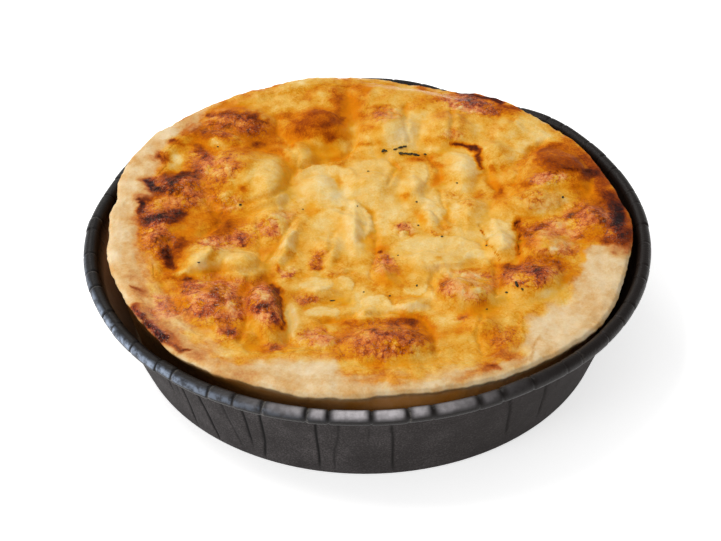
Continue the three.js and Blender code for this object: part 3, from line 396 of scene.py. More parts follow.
# Folds pressed into the top: half width, depth, then x and y along the fold
FOLDS = [
    (0.98, 0.7, -15.6, 25, -15.4, 18, -17, 12, -20.5, 8.6, -27, 6),
    (0.91, 0.8, -20, 39, -19.4, 33, -16.8, 28, -15.6, 25),
    (0.98, 1.3, -14, 19.8, -9, 21.2, -5, 22.4, -3, 26, -1.6, 31), (1.7, 1.1, -4, 52, -3, 40, -2.4, 30),
    (1.3, 1.1, -36, 12.5, -33, 6, -31, 0, -34, -4),
    (0.78, 0.9, -41, -16.6, -36, -17.4, -30, -16.4, -24, -17.4),
    (0.85, 1.2, -20, -20.6, -16.2, -27, -15.2, -34, -16, -40),
    (0.65, 0.7, -24, -19, -25, -26, -24, -34, -25, -39),
    (0.78, 0.9, -9, -34, -2, -31.6, 5, -31, 10.6, -33, 13, -38, 13, -44),
    (0.29, 1.3, 31.5, -1.6, 31.6, -7, 31.4, -13.4), (0.65, 0.9, 26, -15, 26.6, -20, 26, -26),
    (0.78, 1, 32, 11.6, 33.6, 17, 36, 23.6, 40, 28.4), (0.45, 1, 42.6, 15.4, 46.6, 16.8, 51.4, 14.4),
    (0.78, 0.8, 26, 23, 26.6, 15, 28, 9.4), (0.78, 0.7, 9.6, 43, 9.2, 36, 9.8, 29),
    (0.78, 0.7, 20, 40, 19.6, 30), (0.65, 0.6, 1.4, 2, 2, -8, 1, -20),
    (0.39, 0.5, 15.8, 10, 16.6, 4, 18.2, -2), (0.65, 1.2, -42, -6, -40.7, -11, -40, -17),
    (0.65, 0.6, -22.6, 1, -22.4, -8, -22, -16), (0.33, 0.5, -15, 1, -18, -7, -20.4, -15),
    (0.59, 0.5, -7, -5, -8.4, -13, -10, -18), (0.59, 0.7, 14.6, -17, 12.6, -22, 15, -27),
    (0.23, 0.6, 24, -3, 25, -8.6, 26.6, -12), (0.65, 0.6, -34, 17, -33, 24, -36, 29),
    (0.52, 0.5, 5, 12, 6.6, 18, 5, 22), (0.59, 0.6, 13.6, 23, 16, 18, 16, 13),
    (0.52, 0.5, 23, -33, 21, -38, 22, -44), (0.65, 0.6, 36, -13.8, 40, -14.6, 44, -17),
    (0.59, 0.6, 46, 9.6, 40, 9.6, 34, 7), (0.52, 0.5, -12.6, -29.4, -8, -30, -3, -27.4),
    (0.45, 0.5, -14.6, -19, -8.4, -19.8, -3, -18.4),
]

# Strands and lips that stand up: half width, rise, then x and y along the strand
STRANDS = [
    (1.0, 0.55, -13.4, 0.4, -16, -6.6, -19, -14.6), (0.7, 0.5, -40, -17, -37.6, -12, -33.6, -8.6),
    (0.8, 0.4, -2.4, 6, -2.4, -8), (0.7, 0.5, -14, 18, -10, 19.2, -5.6, 20.6, -3.4, 24),
    (0.7, 0.45, -20.4, -21, -18, -28, -17.6, -36), (0.8, 0.3, 13, 3.4, 17, -3),
    (0.6, 0.35, -38, -8, -32, -5.6, -26.6, -7), (0.6, 0.35, 6, -15.6, 12, -17, 19, -15.6),
    (0.7, 0.35, -31, -42, -25, -41), (0.5, 0.3, 8, -29, 13, -28.8, 17, -29.6),
    (0.6, 0.3, -16.6, -28, -15.2, -37), (0.6, 0.4, 27, -2, 28.6, -10),
]


def smoothstep(low, high, value):
    """Smooth ramp from 0 at low to 1 at high, flat at both ends."""
    share = np.clip((value - low) / (high - low), 0.0, 1.0)
    return share * share * (3.0 - 2.0 * share)


def mix(first, second, share):
    """Straight blend between two values."""
    return first + (second - first) * share


# Noise

# Directions to the middles of a cube's edges
SLOPES = np.array([s for s in np.ndindex(3, 3, 3) if sum(abs(c - 1) for c in s) == 2], float) - 1.0

# Odd numbers that scatter lattice cells
SCATTER = np.array([0x9E3779B1, 0x85EBCA77, 0xC2B2AE3D], np.uint64)
STIR = np.uint64(0x2C1B3C6D)
SEED_STEP = 668265263
LOW_BITS = np.uint64(0xFFFFFFFF)
DRAW_BITS = 0xFFFFFF


def scramble(cells, seed):
    """A whole number for each lattice cell: its three indices times large odd numbers, mixed by shifts."""
    c = cells.astype(np.int64).astype(np.uint64) * SCATTER
    h = (c[..., 0] ^ c[..., 1] ^ c[..., 2]) + np.uint64(seed * SEED_STEP)
    for shift in (15, 12, 15):
        h ^= (h & LOW_BITS) >> np.uint64(shift)
        h *= STIR
    return (h >> np.uint64(7)) & np.uint64(DRAW_BITS)


def noise(points, size, seed):
    """Gradient noise, about -1 to 1: every corner of a cube lattice of this size holds a random slope,
    and the slopes of the eight corners round a point are blended with a smooth fade."""
    scaled = points / size
    cell = np.floor(scaled)
    inside = scaled - cell
    fade = inside ** 3 * (inside * (inside * 6.0 - 15.0) + 10.0)
    total = np.zeros(points.shape[:-1])
    for corner in np.ndindex(2, 2, 2):
        step = np.array(corner, float)
        slope = SLOPES[(scramble(cell + step, seed) % np.uint64(len(SLOPES))).astype(int)]
        weight = np.prod(np.where(step > 0, fade, 1.0 - fade), axis=-1)
        total += weight * np.sum(slope * (inside - step), axis=-1)
    return total


def cloud(points, size, seed, octaves=3):
    """Sum of noises, each half the size and half the height of the one before."""
    return sum(noise(points, size / 2 ** k, seed + k) / 2 ** k for k in range(octaves))


def as_flat(at):
    """Plane places as points at height 0, for the noises."""
    return np.concatenate([at, np.zeros(at.shape[:-1] + (1,))], -1)


def blisters(points, size, seed, share):
    """Round domes, one in some cells of a flat lattice: 1 less the squared distance to a scattered
    middle, over the dome's own radius, and 0 outside it."""
    flat = points[..., :2] / size
    cell = np.floor(flat)
    dome = np.zeros(points.shape[:-1])
    for step in np.ndindex(3, 3):
        at = cell + np.array(step) - 1.0
        draw = [scramble(as_flat(at), seed + k) / float(DRAW_BITS) for k in range(4)]
        middle = at + 0.2 + 0.6 * np.stack(draw[:2], -1)
        radius = 0.25 + 0.3 * draw[2]
        rise = 1.0 - np.sum((flat - middle) ** 2, -1) / radius ** 2
        dome = np.maximum(dome, np.where(draw[3] < share, rise * radius, 0.0))
    return dome


# Shapes shared with the solids

def bell(angle, at, spread):
    """Bell round a direction, both in degrees."""
    away = angle - math.radians(at)
    turned = np.arctan2(np.sin(away), np.cos(away)) / math.radians(spread)
    return np.exp(-turned * turned)


def unevenness(angle, waves):
    """Sum of slow waves round a turn."""
    return sum(height * np.sin(count * angle + start) for count, height, start in waves)


def crust_plane(x, y):
    """Height of the tilted plane that the crust's edge follows."""
    uphill = x * math.cos(CRUST_HIGH_SIDE) + y * math.sin(CRUST_HIGH_SIDE)
    return CRUST_HEIGHT + CRUST_TILT * uphill / CRUST_RADIUS


def crust_edge(angle):
    """Radius and height of the crust's outer edge: a tilted circle with slow waves and swells."""
    radius = CRUST_RADIUS + unevenness(angle, CRUST_WAVES)
    height = crust_plane(CRUST_RADIUS * np.cos(angle), CRUST_RADIUS * np.sin(angle))
    for at, spread, out, up in EDGE_SWELLS:
        radius = radius + out * bell(angle, at, spread)
        height = height + up * bell(angle, at, spread)
    return radius, height


def cheese_outline(angle):
    """Radius where the melted cheese ends: a circle with slow waves, less the gaps."""
    radius = CHEESE_RADIUS + unevenness(angle, CHEESE_WAVES)
    for at, spread, depth in CHEESE_GAPS:
        radius = radius - depth * bell(angle, at, spread)
    return np.minimum(radius, crust_edge(angle)[0] - CRUST_ROUND)


def patch_axes(x, y, patch):
    """Places along and across a patch, as shares of its half length and half width from its middle."""
    turn = math.radians(patch[4])
    along = ((x - patch[0]) * math.cos(turn) + (y - patch[1]) * math.sin(turn)) / patch[2]
    across = ((y - patch[1]) * math.cos(turn) - (x - patch[0]) * math.sin(turn)) / patch[3]
    return along, across


def across_patch(x, y, patch):
    """Distance from a patch's middle: 1 all along its outline."""
    return np.hypot(*patch_axes(x, y, patch))


def relief(x, y):
    """Baked top above the crust's plane: a sunken middle in a ring, and domes that melt together, each a
    level less the squared distance from its middle."""
    outwards = smoothstep(HOLLOW_RADIUS, RING_RADIUS, np.hypot(x, y))
    total = np.exp(mix(HOLLOW_LEVEL, RING_LEVEL, outwards) / HUMP_BLEND)
    for hump in HUMPS:
        level = hump[5] - HUMP_DROP * across_patch(x, y, hump) ** 2
        total = total + np.exp(level / HUMP_BLEND)
    return HUMP_BLEND * np.log(total)


# Listed features on the plane of sight

# Tone under all patches, and how far a patch's core, its halo and a melted slice cover what is below them
GROUND_TONE = 0.3
CORE_COVER = 0.92
HALO_COVER = 0.4
SLICE_COVER = 0.7

# Radius of the drum whose noise draws the pastry's edge out into streaks
STREAK_DRUM = 12.0


def seen(points):
    """Where the line of sight through each point meets the level plane."""
    share = (SIGHT_LEVEL - EYE[2]) / (points[..., 2] - EYE[2])
    return EYE[:2] + (points[..., :2] - EYE[:2]) * share[..., None]


def slice_share(at, sheet):
    """Share of a melted slice at each place: full behind its torn edge and less and less away from it."""
    along, across = patch_axes(at[..., 0], at[..., 1], sheet)
    return smoothstep(1.04, 0.9, np.hypot(along, across)) * smoothstep(-0.9, 0.6, across)


def layers(at, listed):
    """Patches laid over each other like glaze: each fades from its middle to its outline."""
    clear = np.ones(at.shape[:-1])
    for patch in listed:
        clear = clear * (1.0 - patch[5] * smoothstep(1.3, 0.45, across_patch(at[..., 0], at[..., 1], patch)))
    return 1.0 - clear


def along_lines(at, listed):
    """Largest value of a bell across any of the lines, by the distance to its nearest stretch."""
    value = np.zeros(at.shape[:-1])
    for half_width, strength, *places in listed:
        corners = np.array(places).reshape(-1, 2)
        nearest = np.full(at.shape[:-1], np.inf)
        for start, stop in zip(corners[:-1], corners[1:]):
            run = stop - start
            share = np.clip((at - start) @ run / (run @ run), 0.0, 1.0)
            nearest = np.minimum(nearest, np.linalg.norm(at - start - share[..., None] * run, axis=-1))
        value = np.maximum(value, strength * np.exp(-(nearest / half_width) ** 2))
    return value


def wandered(at, far, near):
    """Places moved by broad and by fine noise, so that outlines come out ragged."""
    flat = as_flat(at)
    broad = np.stack([cloud(flat, 4.0, 51), cloud(flat, 4.0, 52)], -1)
    fine = np.stack([cloud(flat, 1.2, 53), cloud(flat, 1.2, 54)], -1)
    return at + far * broad + near * fine


def toasted(place, at):
    """Browning and crispness, from the listed features and noise. Each patch of browning has a core and a
    weaker halo round it, and the melted slices and the dark streaks lie over the patches."""
    flat = as_flat(place)
    toast = GROUND_TONE + 0.3 * cloud(flat, 6.0, 55)
    for patch in BROWNING:
        away = across_patch(at[..., 0], at[..., 1], patch)
        share = np.maximum(CORE_COVER * smoothstep(1.35, 0.4, away), HALO_COVER * smoothstep(2.2, 0.6, away))
        toast = mix(toast, patch[5], share)
    for patch in DEEPER:
        toast = toast + patch[5] * smoothstep(1.4, 0.3, across_patch(at[..., 0], at[..., 1], patch))
    crisp = layers(at, CRISP)
    toast = toast + 0.12 * cloud(flat, 4.0, 56) + 0.16 * crisp * cloud(flat, 3.2, 58)
    torn = wandered(place, 0.7, 0.3)
    for sheet in SHEETS:
        over = SLICE_COVER * slice_share(torn, sheet)
        toast = mix(toast, sheet[5], over)
        crisp = crisp * (1 - over)
    streak = along_lines(wandered(place, 0.8, 0.4), STREAKS)
    return np.clip(np.maximum(toast, streak), 0.0, 1.0), crisp


def bare_share(place, at, toast):
    """Share of bare pastry: all past the film's edge, which is soft and drawn out in streaks that run
    outwards, but none where it is burnt."""
    direction = np.degrees(np.arctan2(at[..., 1], at[..., 0]))
    reach = np.hypot(at[..., 0], at[..., 1])
    film = np.array(FILM_EDGE).T
    film_radius = np.interp(direction, film[0], film[1], period=360)
    softness = np.interp(direction, film[0], film[2], period=360)
    streaky = cloud(polar(STREAK_DRUM, np.radians(direction), reach), 1.8, 59)
    past = reach - film_radius + 1.6 * cloud(as_flat(place), 7.0, 57) + (0.2 + 0.8 * softness) * streaky
    return smoothstep(-softness, softness, past) * smoothstep(0.75, 0.5, toast)


def colour_masks(points):
    """Browning, oil, crispness and bare pastry at each point, worked out where its line of sight shows
    it."""
    place = seen(points)
    at = wandered(place, 1.0, 0.4)
    toast, crisp = toasted(place, at)
    bare = bare_share(place, at, toast)
    return {"toast": toast, "oil": layers(at, OIL) * (1 - bare), "bare": bare, "crisp": crisp * (1 - bare)}


# Meshes

def new_piece(name, points, faces, attributes=None):
    """A smooth-shaded object from points in millimetres and a list of face arrays, with one value a point
    for each attribute."""
    mesh = bpy.data.meshes.new(name)
    mesh.from_pydata((points * MM).tolist(), [], [face for block in faces for face in block.tolist()])
    mesh.polygons.foreach_set("use_smooth", np.ones(len(mesh.polygons), bool))
    for key, values in (attributes or {}).items():
        layer = mesh.attributes.new(key, "FLOAT", "POINT")
        layer.data.foreach_set("value", np.ascontiguousarray(values, np.float32).ravel())
    mesh.update()
    piece = bpy.data.objects.new(name, mesh)
    bpy.context.scene.collection.objects.link(piece)
    return piece


def strip_faces(first, second):
    """Four-sided faces between two closed rows of point numbers, the second row above the first."""
    return np.stack([first, np.roll(first, -1), np.roll(second, -1), second], -1)


def turned_piece(name, rings, foot, top, attributes):
    """A closed turned surface: rings of points from the foot on the axis, outwards, up and back to the
    axis."""
    ring_count, side_count = rings.shape[:2]
    points = np.concatenate([rings.reshape(-1, 3), [foot, top]])
    number = np.arange(ring_count * side_count).reshape(ring_count, side_count)
    faces = [strip_faces(number[k], number[k + 1]) for k in range(ring_count - 1)]
    foot_row = np.full(side_count, len(points) - 2)
    top_row = np.full(side_count, len(points) - 1)
    faces.append(np.stack([foot_row, np.roll(number[0], -1), number[0]], -1))
    faces.append(np.stack([top_row, number[-1], np.roll(number[-1], -1)], -1))
    full = {key: np.append(values.ravel(), [0.0, 0.0]) for key, values in attributes.items()}
    return new_piece(name, points, faces, full)


def polar(radius, angle, height):
    """Points from radius, angle and height."""
    return np.stack([radius * np.cos(angle), radius * np.sin(angle), height + 0.0 * radius], -1)


def arc(centre_radius, centre_height, radius, start, stop, steps):
    """Profile points on an arc between two directions in degrees."""
    turn = np.radians(np.linspace(start, stop, steps + 1))
    return np.stack([centre_radius + radius * np.cos(turn), centre_height + radius * np.sin(turn)], -1)


def resample(profile, step):
    """Profile points spread along straight stretches so that none is longer than the step."""
    spread = [profile[:1]]
    for start, stop in zip(profile[:-1], profile[1:]):
        count = max(1, math.ceil(float(np.linalg.norm(stop - start)) / step))
        spread.append(start + (stop - start) * np.linspace(0, 1, count + 1)[1:, None])
    return np.concatenate(spread)


# Paper case

CASE_SIDES = 1800
WALL_STEP = 1.9
INNER_STEP = 4.0
FLAT_STEP = 16.0
HUB_RADIUS = 3.0

# Stretches of the case's profile
BASE, WALL, HEM, ROLL, INNER, FLOOR = range(6)

# Lengths of the roll between creases: width and share of a crease's depth, how far out of line they
# stand, and how closely the hem follows
NOTCH_HALF_WIDTH = 0.26
NOTCH_SHARE = 0.6
LENGTH_OUT = 0.06
LENGTH_UP = 0.05
HEM_FOLLOWS = 0.4

# Wear beside a crease, and where round the rim the roll has a painted sheen, its flank a painted cool
# reflection, the paper painted shade and the inside painted light, in degrees
WORN_OFF = 0.4
WORN_HALF_WIDTH = 0.2
PAINTED_SHEEN_AT = -90.0
PAINTED_SHEEN_SPREAD = 17.0
PAINTED_REFLECTION_AT = -143.0
PAINTED_REFLECTION_SPREAD = 24.0
PAINTED_SHADE_AT = -5.0
PAINTED_SHADE_SPREAD = 80.0
PAINTED_LIGHT_INSIDE_AT = 175.0
PAINTED_LIGHT_INSIDE_SPREAD = 40.0
# Share of the roll's dark colour laid on the hem: painted shade under the roll
HEM_PAINTED_SHADE = 0.9

# Creases of the wall that the photographed view shows: direction at the top and lean in degrees, start
# and end as shares of the wall's height, strength
WALL_LINES = [
    (-135.5, -2, 0.55, 1.0, 0.7), (-133.5, -2, 0.6, 1.0, 0.5), (-131.6, -1.6, 0.1, 1.0, 1.0),
    (-126.8, 0, 0.0, 1.0, 1.0), (-121.1, 1.4, 0.1, 1.0, 0.5), (-116.3, 0, 0.25, 1.0, 0.9),
    (-111.5, -2.8, 0.05, 1.0, 1.0), (-100.4, -1, 0.1, 1.0, 0.9), (-96, -2, 0.1, 0.95, 0.5),
    (-90.2, 0, 0.6, 1.0, 0.3), (-86, 1.3, 0.05, 0.85, 0.8), (-62, 5, 0.2, 1.0, 0.9),
    (-52.4, 4, 0.25, 1.0, 0.9), (-48.4, 3, 0.75, 1.0, 0.8),
]
HIDDEN_LINES = 26
HIDDEN_FROM = -38.0
HIDDEN_TO = 215.0
WALL_LINE_HALF_WIDTH = 0.26
WALL_LINE_DEPTH = 0.28
LINE_END = 0.1
PANEL_SIZE = 9.0
PANEL_DEPTH = 0.16


def case_profile():
    """Radius and height along the case's profile, from the middle of its underside out, up, over the roll
    and back along the inside, and the stretch that each point belongs to."""
    corner_radius = BASE_RADIUS - BASE_CORNER
    base = resample(np.array([[HUB_RADIUS, 0.0], [corner_radius, 0.0]]), FLAT_STEP)
    corner = arc(corner_radius, BASE_CORNER, BASE_CORNER, -90, -15, 4)
    wall = resample(np.array([corner[-1], [WALL_TOP_RADIUS, HEM_HEIGHT - HEM_RADIUS]]), WALL_STEP)
    hem = arc(WALL_TOP_RADIUS + 2 * HEM_RADIUS, HEM_HEIGHT, HEM_RADIUS, -90, 50, 5)
    roll = arc(ROLL_MIDDLE_RADIUS, ROLL_MIDDLE_HEIGHT, ROLL_RADIUS, -60, 200, 16)
    inner = resample(np.array([roll[-1], [BASE_RADIUS - PAPER, PAPER]]), INNER_STEP)
    floor = resample(np.array([inner[-1], [HUB_RADIUS, PAPER]]), FLAT_STEP)
    stretches = [
        (BASE, base), (BASE, corner[1:]), (WALL, wall[1:]), (HEM, hem), (ROLL, roll), (INNER, inner[1:]),
        (FLOOR, floor[1:]),
    ]
    profile = np.concatenate([points for _, points in stretches])
    stretch = np.concatenate([np.full(len(points), name) for name, points in stretches])
    return profile, stretch


def roll_creases(angle):
    """Creases across the roll, for each direction: the way round to the nearest crease, that crease's
    number, how deep it is here, and the number of the length of roll that lies here."""
    index = np.arange(CREASE_COUNT)
    uneven = CREASE_SPREAD * np.sin(CREASE_PLACE_PACE * index)
    crease_at = (index + uneven) / CREASE_COUNT * 2 * np.pi
    depth = CREASE_DEPTH * (1 - CREASE_VARIETY + CREASE_VARIETY * np.sin(CREASE_DEPTH_PACE * index))
    gap = np.angle(np.exp(1j * (angle[:, None] - crease_at[None, :]))) * RIM_RADIUS
    nearest = np.argmin(np.abs(gap), axis=1)
    off = gap[np.arange(len(angle)), nearest]
    notch = np.exp(-(off / NOTCH_HALF_WIDTH) ** 2) * NOTCH_SHARE * depth[nearest]
    length = np.searchsorted(crease_at, angle) % CREASE_COUNT
    return off, nearest, notch, length


def wall_creases(around, height):
    """Fine creases of the wall: the largest of bells across lines that lean and sway as they climb. Those
    on the side that doesn't show are drawn at random."""
    dark = np.zeros_like(height)
    lift = (height - BASE_CORNER) / (HEM_HEIGHT - BASE_CORNER)
    hidden = np.stack([
        RNG.uniform(HIDDEN_FROM, HIDDEN_TO, HIDDEN_LINES), RNG.normal(0, 2.0, HIDDEN_LINES),
        RNG.uniform(0.0, 0.7, HIDDEN_LINES), np.ones(HIDDEN_LINES), RNG.uniform(0.4, 1.0, HIDDEN_LINES),
    ], -1)
    for at, lean, start, stop, strength in np.concatenate([WALL_LINES, hidden]):
        sway = RNG.uniform(0.002, 0.006) * np.sin(7 * lift + RNG.uniform(0, 6))
        across = np.angle(np.exp(1j * (around - np.radians(at + lean * (1 - lift)) - sway))) * BASE_RADIUS
        line = np.exp(-(across / WALL_LINE_HALF_WIDTH) ** 2)
        line = line * smoothstep(start - LINE_END, start + LINE_END, lift)
        line = line * smoothstep(stop + LINE_END, stop, lift)
        dark = np.maximum(dark, line * strength)
    return dark


def paper_case():
    """The case as a profile carried round a circle: base, wall, tucked hem and roll. The roll is cut by
    creases into short lengths that stand a little out of line, and the wall by fine creases that wander
    as they climb."""
    profile, stretch = case_profile()
    angle = np.arange(CASE_SIDES) / CASE_SIDES * 2 * np.pi
    radius = np.repeat(profile[:, :1], CASE_SIDES, 1)
    height = np.repeat(profile[:, 1:], CASE_SIDES, 1)
    around = np.broadcast_to(angle, radius.shape)
    on_wall = (stretch == WALL)[:, None]
    on_hem = (stretch == HEM)[:, None]
    on_roll = (stretch == ROLL)[:, None]
    raised = np.clip(profile[:, 1:] / CASE_HEIGHT, 0, 1) * (profile[:, :1] > 0.8 * BASE_RADIUS)

    # Lengths of the roll, pinched at the creases
    off, nearest, notch, length = roll_creases(angle)
    stand_out = RNG.normal(0, LENGTH_OUT, CREASE_COUNT)[length]
    stand_up = RNG.normal(0, LENGTH_UP, CREASE_COUNT)[length]
    from_roll_r = profile[:, :1] - ROLL_MIDDLE_RADIUS
    from_roll_z = profile[:, 1:] - ROLL_MIDDLE_HEIGHT
    shrink = notch / ROLL_RADIUS
    radius = radius + np.where(on_roll, stand_out - shrink * from_roll_r, 0.0)
    height = height + np.where(on_roll, stand_up - shrink * from_roll_z, 0.0)
    radius = radius + np.where(on_hem, HEM_FOLLOWS * stand_out, 0.0)

    # Wear beside the creases, a painted sheen on the crest and a painted cool reflection on the flank
    wear = np.maximum(RNG.uniform(-0.5, 0.8, CREASE_COUNT), 0)[nearest]
    worn = np.exp(-((off - WORN_OFF) / WORN_HALF_WIDTH) ** 2) * wear
    out = from_roll_r / ROLL_RADIUS
    up = from_roll_z / ROLL_RADIUS
    between = smoothstep(0.2, 1.6, np.abs(off)) * RNG.uniform(0.6, 1.0, CREASE_COUNT)[length]
    on_crest = smoothstep(0.1, 0.85, up) * smoothstep(-0.8, 0.2, out)
    painted_sheen = bell(angle, PAINTED_SHEEN_AT, PAINTED_SHEEN_SPREAD) * on_crest * between
    on_flank = smoothstep(-0.2, 0.2, up) * smoothstep(0.95, 0.55, up) * smoothstep(0.0, 0.4, out)
    painted_reflection = bell(angle, PAINTED_REFLECTION_AT, PAINTED_REFLECTION_SPREAD) * on_flank * smoothstep(0.1, 0.5, np.abs(off))

    # Creases and uneven panels of the wall, and bends of the rim
    dark = wall_creases(around, height) * on_wall
    panel = cloud(polar(radius, around, height), PANEL_SIZE, 3)
    radius = radius - WALL_LINE_DEPTH * dark + np.where(on_wall, PANEL_DEPTH * panel, 0.0)
    for at, spread, bent_out, bent_up in RIM_BENDS:
        radius = radius + bent_out * bell(angle, at, spread) * raised
        height = height + bent_up * bell(angle, at, spread) * raised
    everywhere = np.ones_like(radius)
    # Painted shade in the creases, on the hem and towards the right; painted sheen, reflection and inside
    # light
    attributes = {
        "crease_shade": dark + np.where(on_roll, notch / CREASE_DEPTH, 0.0),
        "worn": np.where(on_roll, worn, 0.0),
        "painted_sheen": np.where(on_roll, painted_sheen, 0.0),
        "painted_reflection": np.where(on_roll, painted_reflection, 0.0),
        "roll": (on_roll + HEM_PAINTED_SHADE * on_hem) * everywhere,
        "inside": (stretch == INNER)[:, None] * (0.4 + 0.6 * bell(angle, PAINTED_LIGHT_INSIDE_AT, PAINTED_LIGHT_INSIDE_SPREAD)),
        "painted_shade": bell(angle, PAINTED_SHADE_AT, PAINTED_SHADE_SPREAD) * everywhere,
    }
    return turned_piece("case_paper", polar(radius, around, height), (0, 0, 0), (0, 0, PAPER), attributes)


# Pastry shell

PASTRY_SIDES = 720
PASTRY_HUB_RADIUS = 4.0

# Where the edge reaches further out over the rim, and where the wall has painted shade, in degrees
REACH_AT = -126.0
REACH_SPREAD = 14.0
REACH = 1.3
SIDE_SHADE_AT = -140.0
SIDE_SHADE_SPREAD = 30.0


def rough_edge(angle):
    """The crust's outer edge with fine unevenness: radius and height."""
    radius, height = crust_edge(angle)
    rim = polar(np.full_like(angle, CRUST_RADIUS), angle, np.zeros_like(angle))
    radius = radius + 0.35 * cloud(rim, 7.0, 11) + 0.14 * cloud(rim, 1.6, 12)
    radius = radius + REACH * bell(angle, REACH_AT, REACH_SPREAD)
    height = height + 0.3 * cloud(rim, 9.0, 13)
    return radius, height


def crust_rise(inwards):
    """Height of the crust's rounded top above its edge, by the distance inwards from the edge."""
    return np.interp(inwards, [0.0, 0.3 * CRUST_ROUND, CRUST_ROUND], [0.0, 0.7 * CRUST_CROWN, CRUST_CROWN])


def crust_grain(x, y):
    """Unevenness of the crust's top."""
    flat = as_flat(np.stack([x, y], -1))
    return 0.28 * cloud(flat, 5.0, 21) + 0.14 * cloud(flat, 1.4, 22, 2)


def pastry_shell():
    """The shell as a profile carried round a circle: underside, foot, outer wall, rounded edge, flat top
    and inside wall. Noise roughens the edge and the top."""
    angle = np.arange(PASTRY_SIDES) / PASTRY_SIDES * 2 * np.pi
    edge_radius, edge_height = rough_edge(angle)
    crown = edge_height + CRUST_CROWN
    lip = np.minimum(cheese_outline(angle), film_outline(angle)) - CHEESE_OVERLAP
    ones = np.ones_like(angle)

    # Radius, height and steps from the station before
    stations = [
        (PASTRY_HUB_RADIUS * ones, PASTRY_BOTTOM * ones, 1),
        (FOOT_FLAT_RADIUS * ones, PASTRY_BOTTOM * ones, 4),
        (FOOT_RADIUS * ones, FOOT_HEIGHT * ones, 3),
        (SHOULDER_RADIUS * ones, edge_height - 2 * CRUST_UNDER, 12),
        (edge_radius - 0.2 * CRUST_ROUND, edge_height - 0.6 * CRUST_UNDER, 4),
        (edge_radius, edge_height, 4),
        (edge_radius - 0.3 * CRUST_ROUND, edge_height + 0.7 * CRUST_CROWN, 4),
        (edge_radius - CRUST_ROUND, crown, 4),
        (lip, crown, 20),
        (PASTRY_CORNER_RADIUS * ones, FILLING_BOTTOM * ones, 6),
        (PASTRY_HUB_RADIUS * ones, FILLING_BOTTOM * ones, 3),
    ]
    radius = [stations[0][0]]
    height = [stations[0][1]]
    for (r0, z0, _), (r1, z1, steps) in zip(stations[:-1], stations[1:]):
        radius += [mix(r0, r1, k / steps) for k in range(1, steps + 1)]
        height += [mix(z0, z1, k / steps) for k in range(1, steps + 1)]
    radius = np.array(radius)
    rings = polar(radius, np.broadcast_to(angle, radius.shape), np.array(height))
    high = smoothstep(-6, -1.5, rings[..., 2] - edge_height)
    on_top = high * smoothstep(PASTRY_CORNER_RADIUS, PASTRY_CORNER_RADIUS + 3, radius)
    rings[..., 2] += on_top * crust_grain(rings[..., 0], rings[..., 1])
    attributes = colour_masks(rings)
    attributes["side"] = smoothstep(0.3, -1.6, rings[..., 2] - edge_height)
    # Painted shade down the outer wall at the left front
    attributes["painted_side_shade"] = attributes["side"] * bell(angle, SIDE_SHADE_AT, SIDE_SHADE_SPREAD)
    return turned_piece("pastry_crust", rings, (0, 0, PASTRY_BOTTOM), (0, 0, FILLING_BOTTOM), attributes)


# Cheese filling

CHEESE_GRID = 301
CHEESE_SINK = 0.35
FILM_OVERHANG = 0.8
HUMP_WANDER = 1.5
LINE_HEIGHT = 0.8

# Rounded lap along the outline: distances inwards and rise
LAP_INWARDS = [0.0, 2.2, 3.4, 9.0]
LAP_RISE = [0.0, 0.35, 0.35, -4.0]
LAP_BLEND = 0.35

# Grated strands: how many, how far out they lie, and the ranges of half length, half width, bend and rise
STRAND_COUNT = 90
STRAND_REACH = 46.0
STRAND_HALF_LENGTH = (4.0, 8.0)
STRAND_HALF_WIDTH = (0.8, 1.6)
STRAND_BEND = (-0.04, 0.04)
STRAND_RISE = (0.1, 0.28)


def disc_grid(count):
    """Even squares laid on a unit disc: squares round the middle become circles, and the share along a side
    becomes the share of a quarter turn. Returns radius and angle."""
    u, v = np.meshgrid(np.linspace(-1, 1, count), np.linspace(-1, 1, count), indexing="ij")
    wide = np.abs(u) >= np.abs(v)
    safe_u = np.where(u == 0, 1.0, u)
    safe_v = np.where(v == 0, 1.0, v)
    angle = np.where(wide, np.pi / 4 * v / safe_u, np.pi / 2 - np.pi / 4 * u / safe_v)
    radius = np.where(wide, u, v)
    return radius, angle


def blurred(values, times):
    """Values on a grid averaged with their neighbours, again and again."""
    for _ in range(times):
        padded = np.pad(values, 1, mode="edge")
        values = (padded[:-2, 1:-1] + padded[2:, 1:-1] + padded[1:-1, :-2] + padded[1:-1, 2:]) / 4
    return values


def film_outline(angle):
    """Radius where the cheese ends on the crust: the listed outline, carried along the lines of sight
    from the level plane down to the crust's top."""
    film = np.radians(np.array(FILM_EDGE)[:, 0])
    reach = np.array(FILM_EDGE)[:, 1]
    far = polar(reach, film, np.full_like(film, SIGHT_LEVEL))
    place = far
    for _ in range(4):
        height = crust_plane(place[:, 0], place[:, 1]) + CRUST_CROWN
        share = (height - EYE[2]) / (far[:, 2] - EYE[2])
        place = EYE + (far - EYE) * share[:, None]
    direction = np.arctan2(place[:, 1], place[:, 0])
    return np.interp(angle, direction, np.hypot(place[:, 0], place[:, 1]), period=2 * np.pi)


def melted_strands(x, y):
    """Grated cheese half melted into the top: bent rods laid at random, each a bell across its length
    that fades at both ends. Where rods cross, the higher one shows."""
    rise = np.zeros_like(x)
    for _ in range(STRAND_COUNT):
        out = STRAND_REACH * math.sqrt(RNG.uniform())
        around, turn = RNG.uniform(0, 2 * math.pi, 2)
        half_long = RNG.uniform(*STRAND_HALF_LENGTH)
        half_wide = RNG.uniform(*STRAND_HALF_WIDTH)
        bend = RNG.uniform(*STRAND_BEND)
        off_x = x - out * math.cos(around)
        off_y = y - out * math.sin(around)
        along = off_x * math.cos(turn) + off_y * math.sin(turn)
        across = off_y * math.cos(turn) - off_x * math.sin(turn) + bend * along ** 2
        rod = np.exp(-(across / half_wide) ** 2) * smoothstep(half_long, 0.5 * half_long, np.abs(along))
        rise = np.maximum(rise, RNG.uniform(*STRAND_RISE) * rod)
    return rise


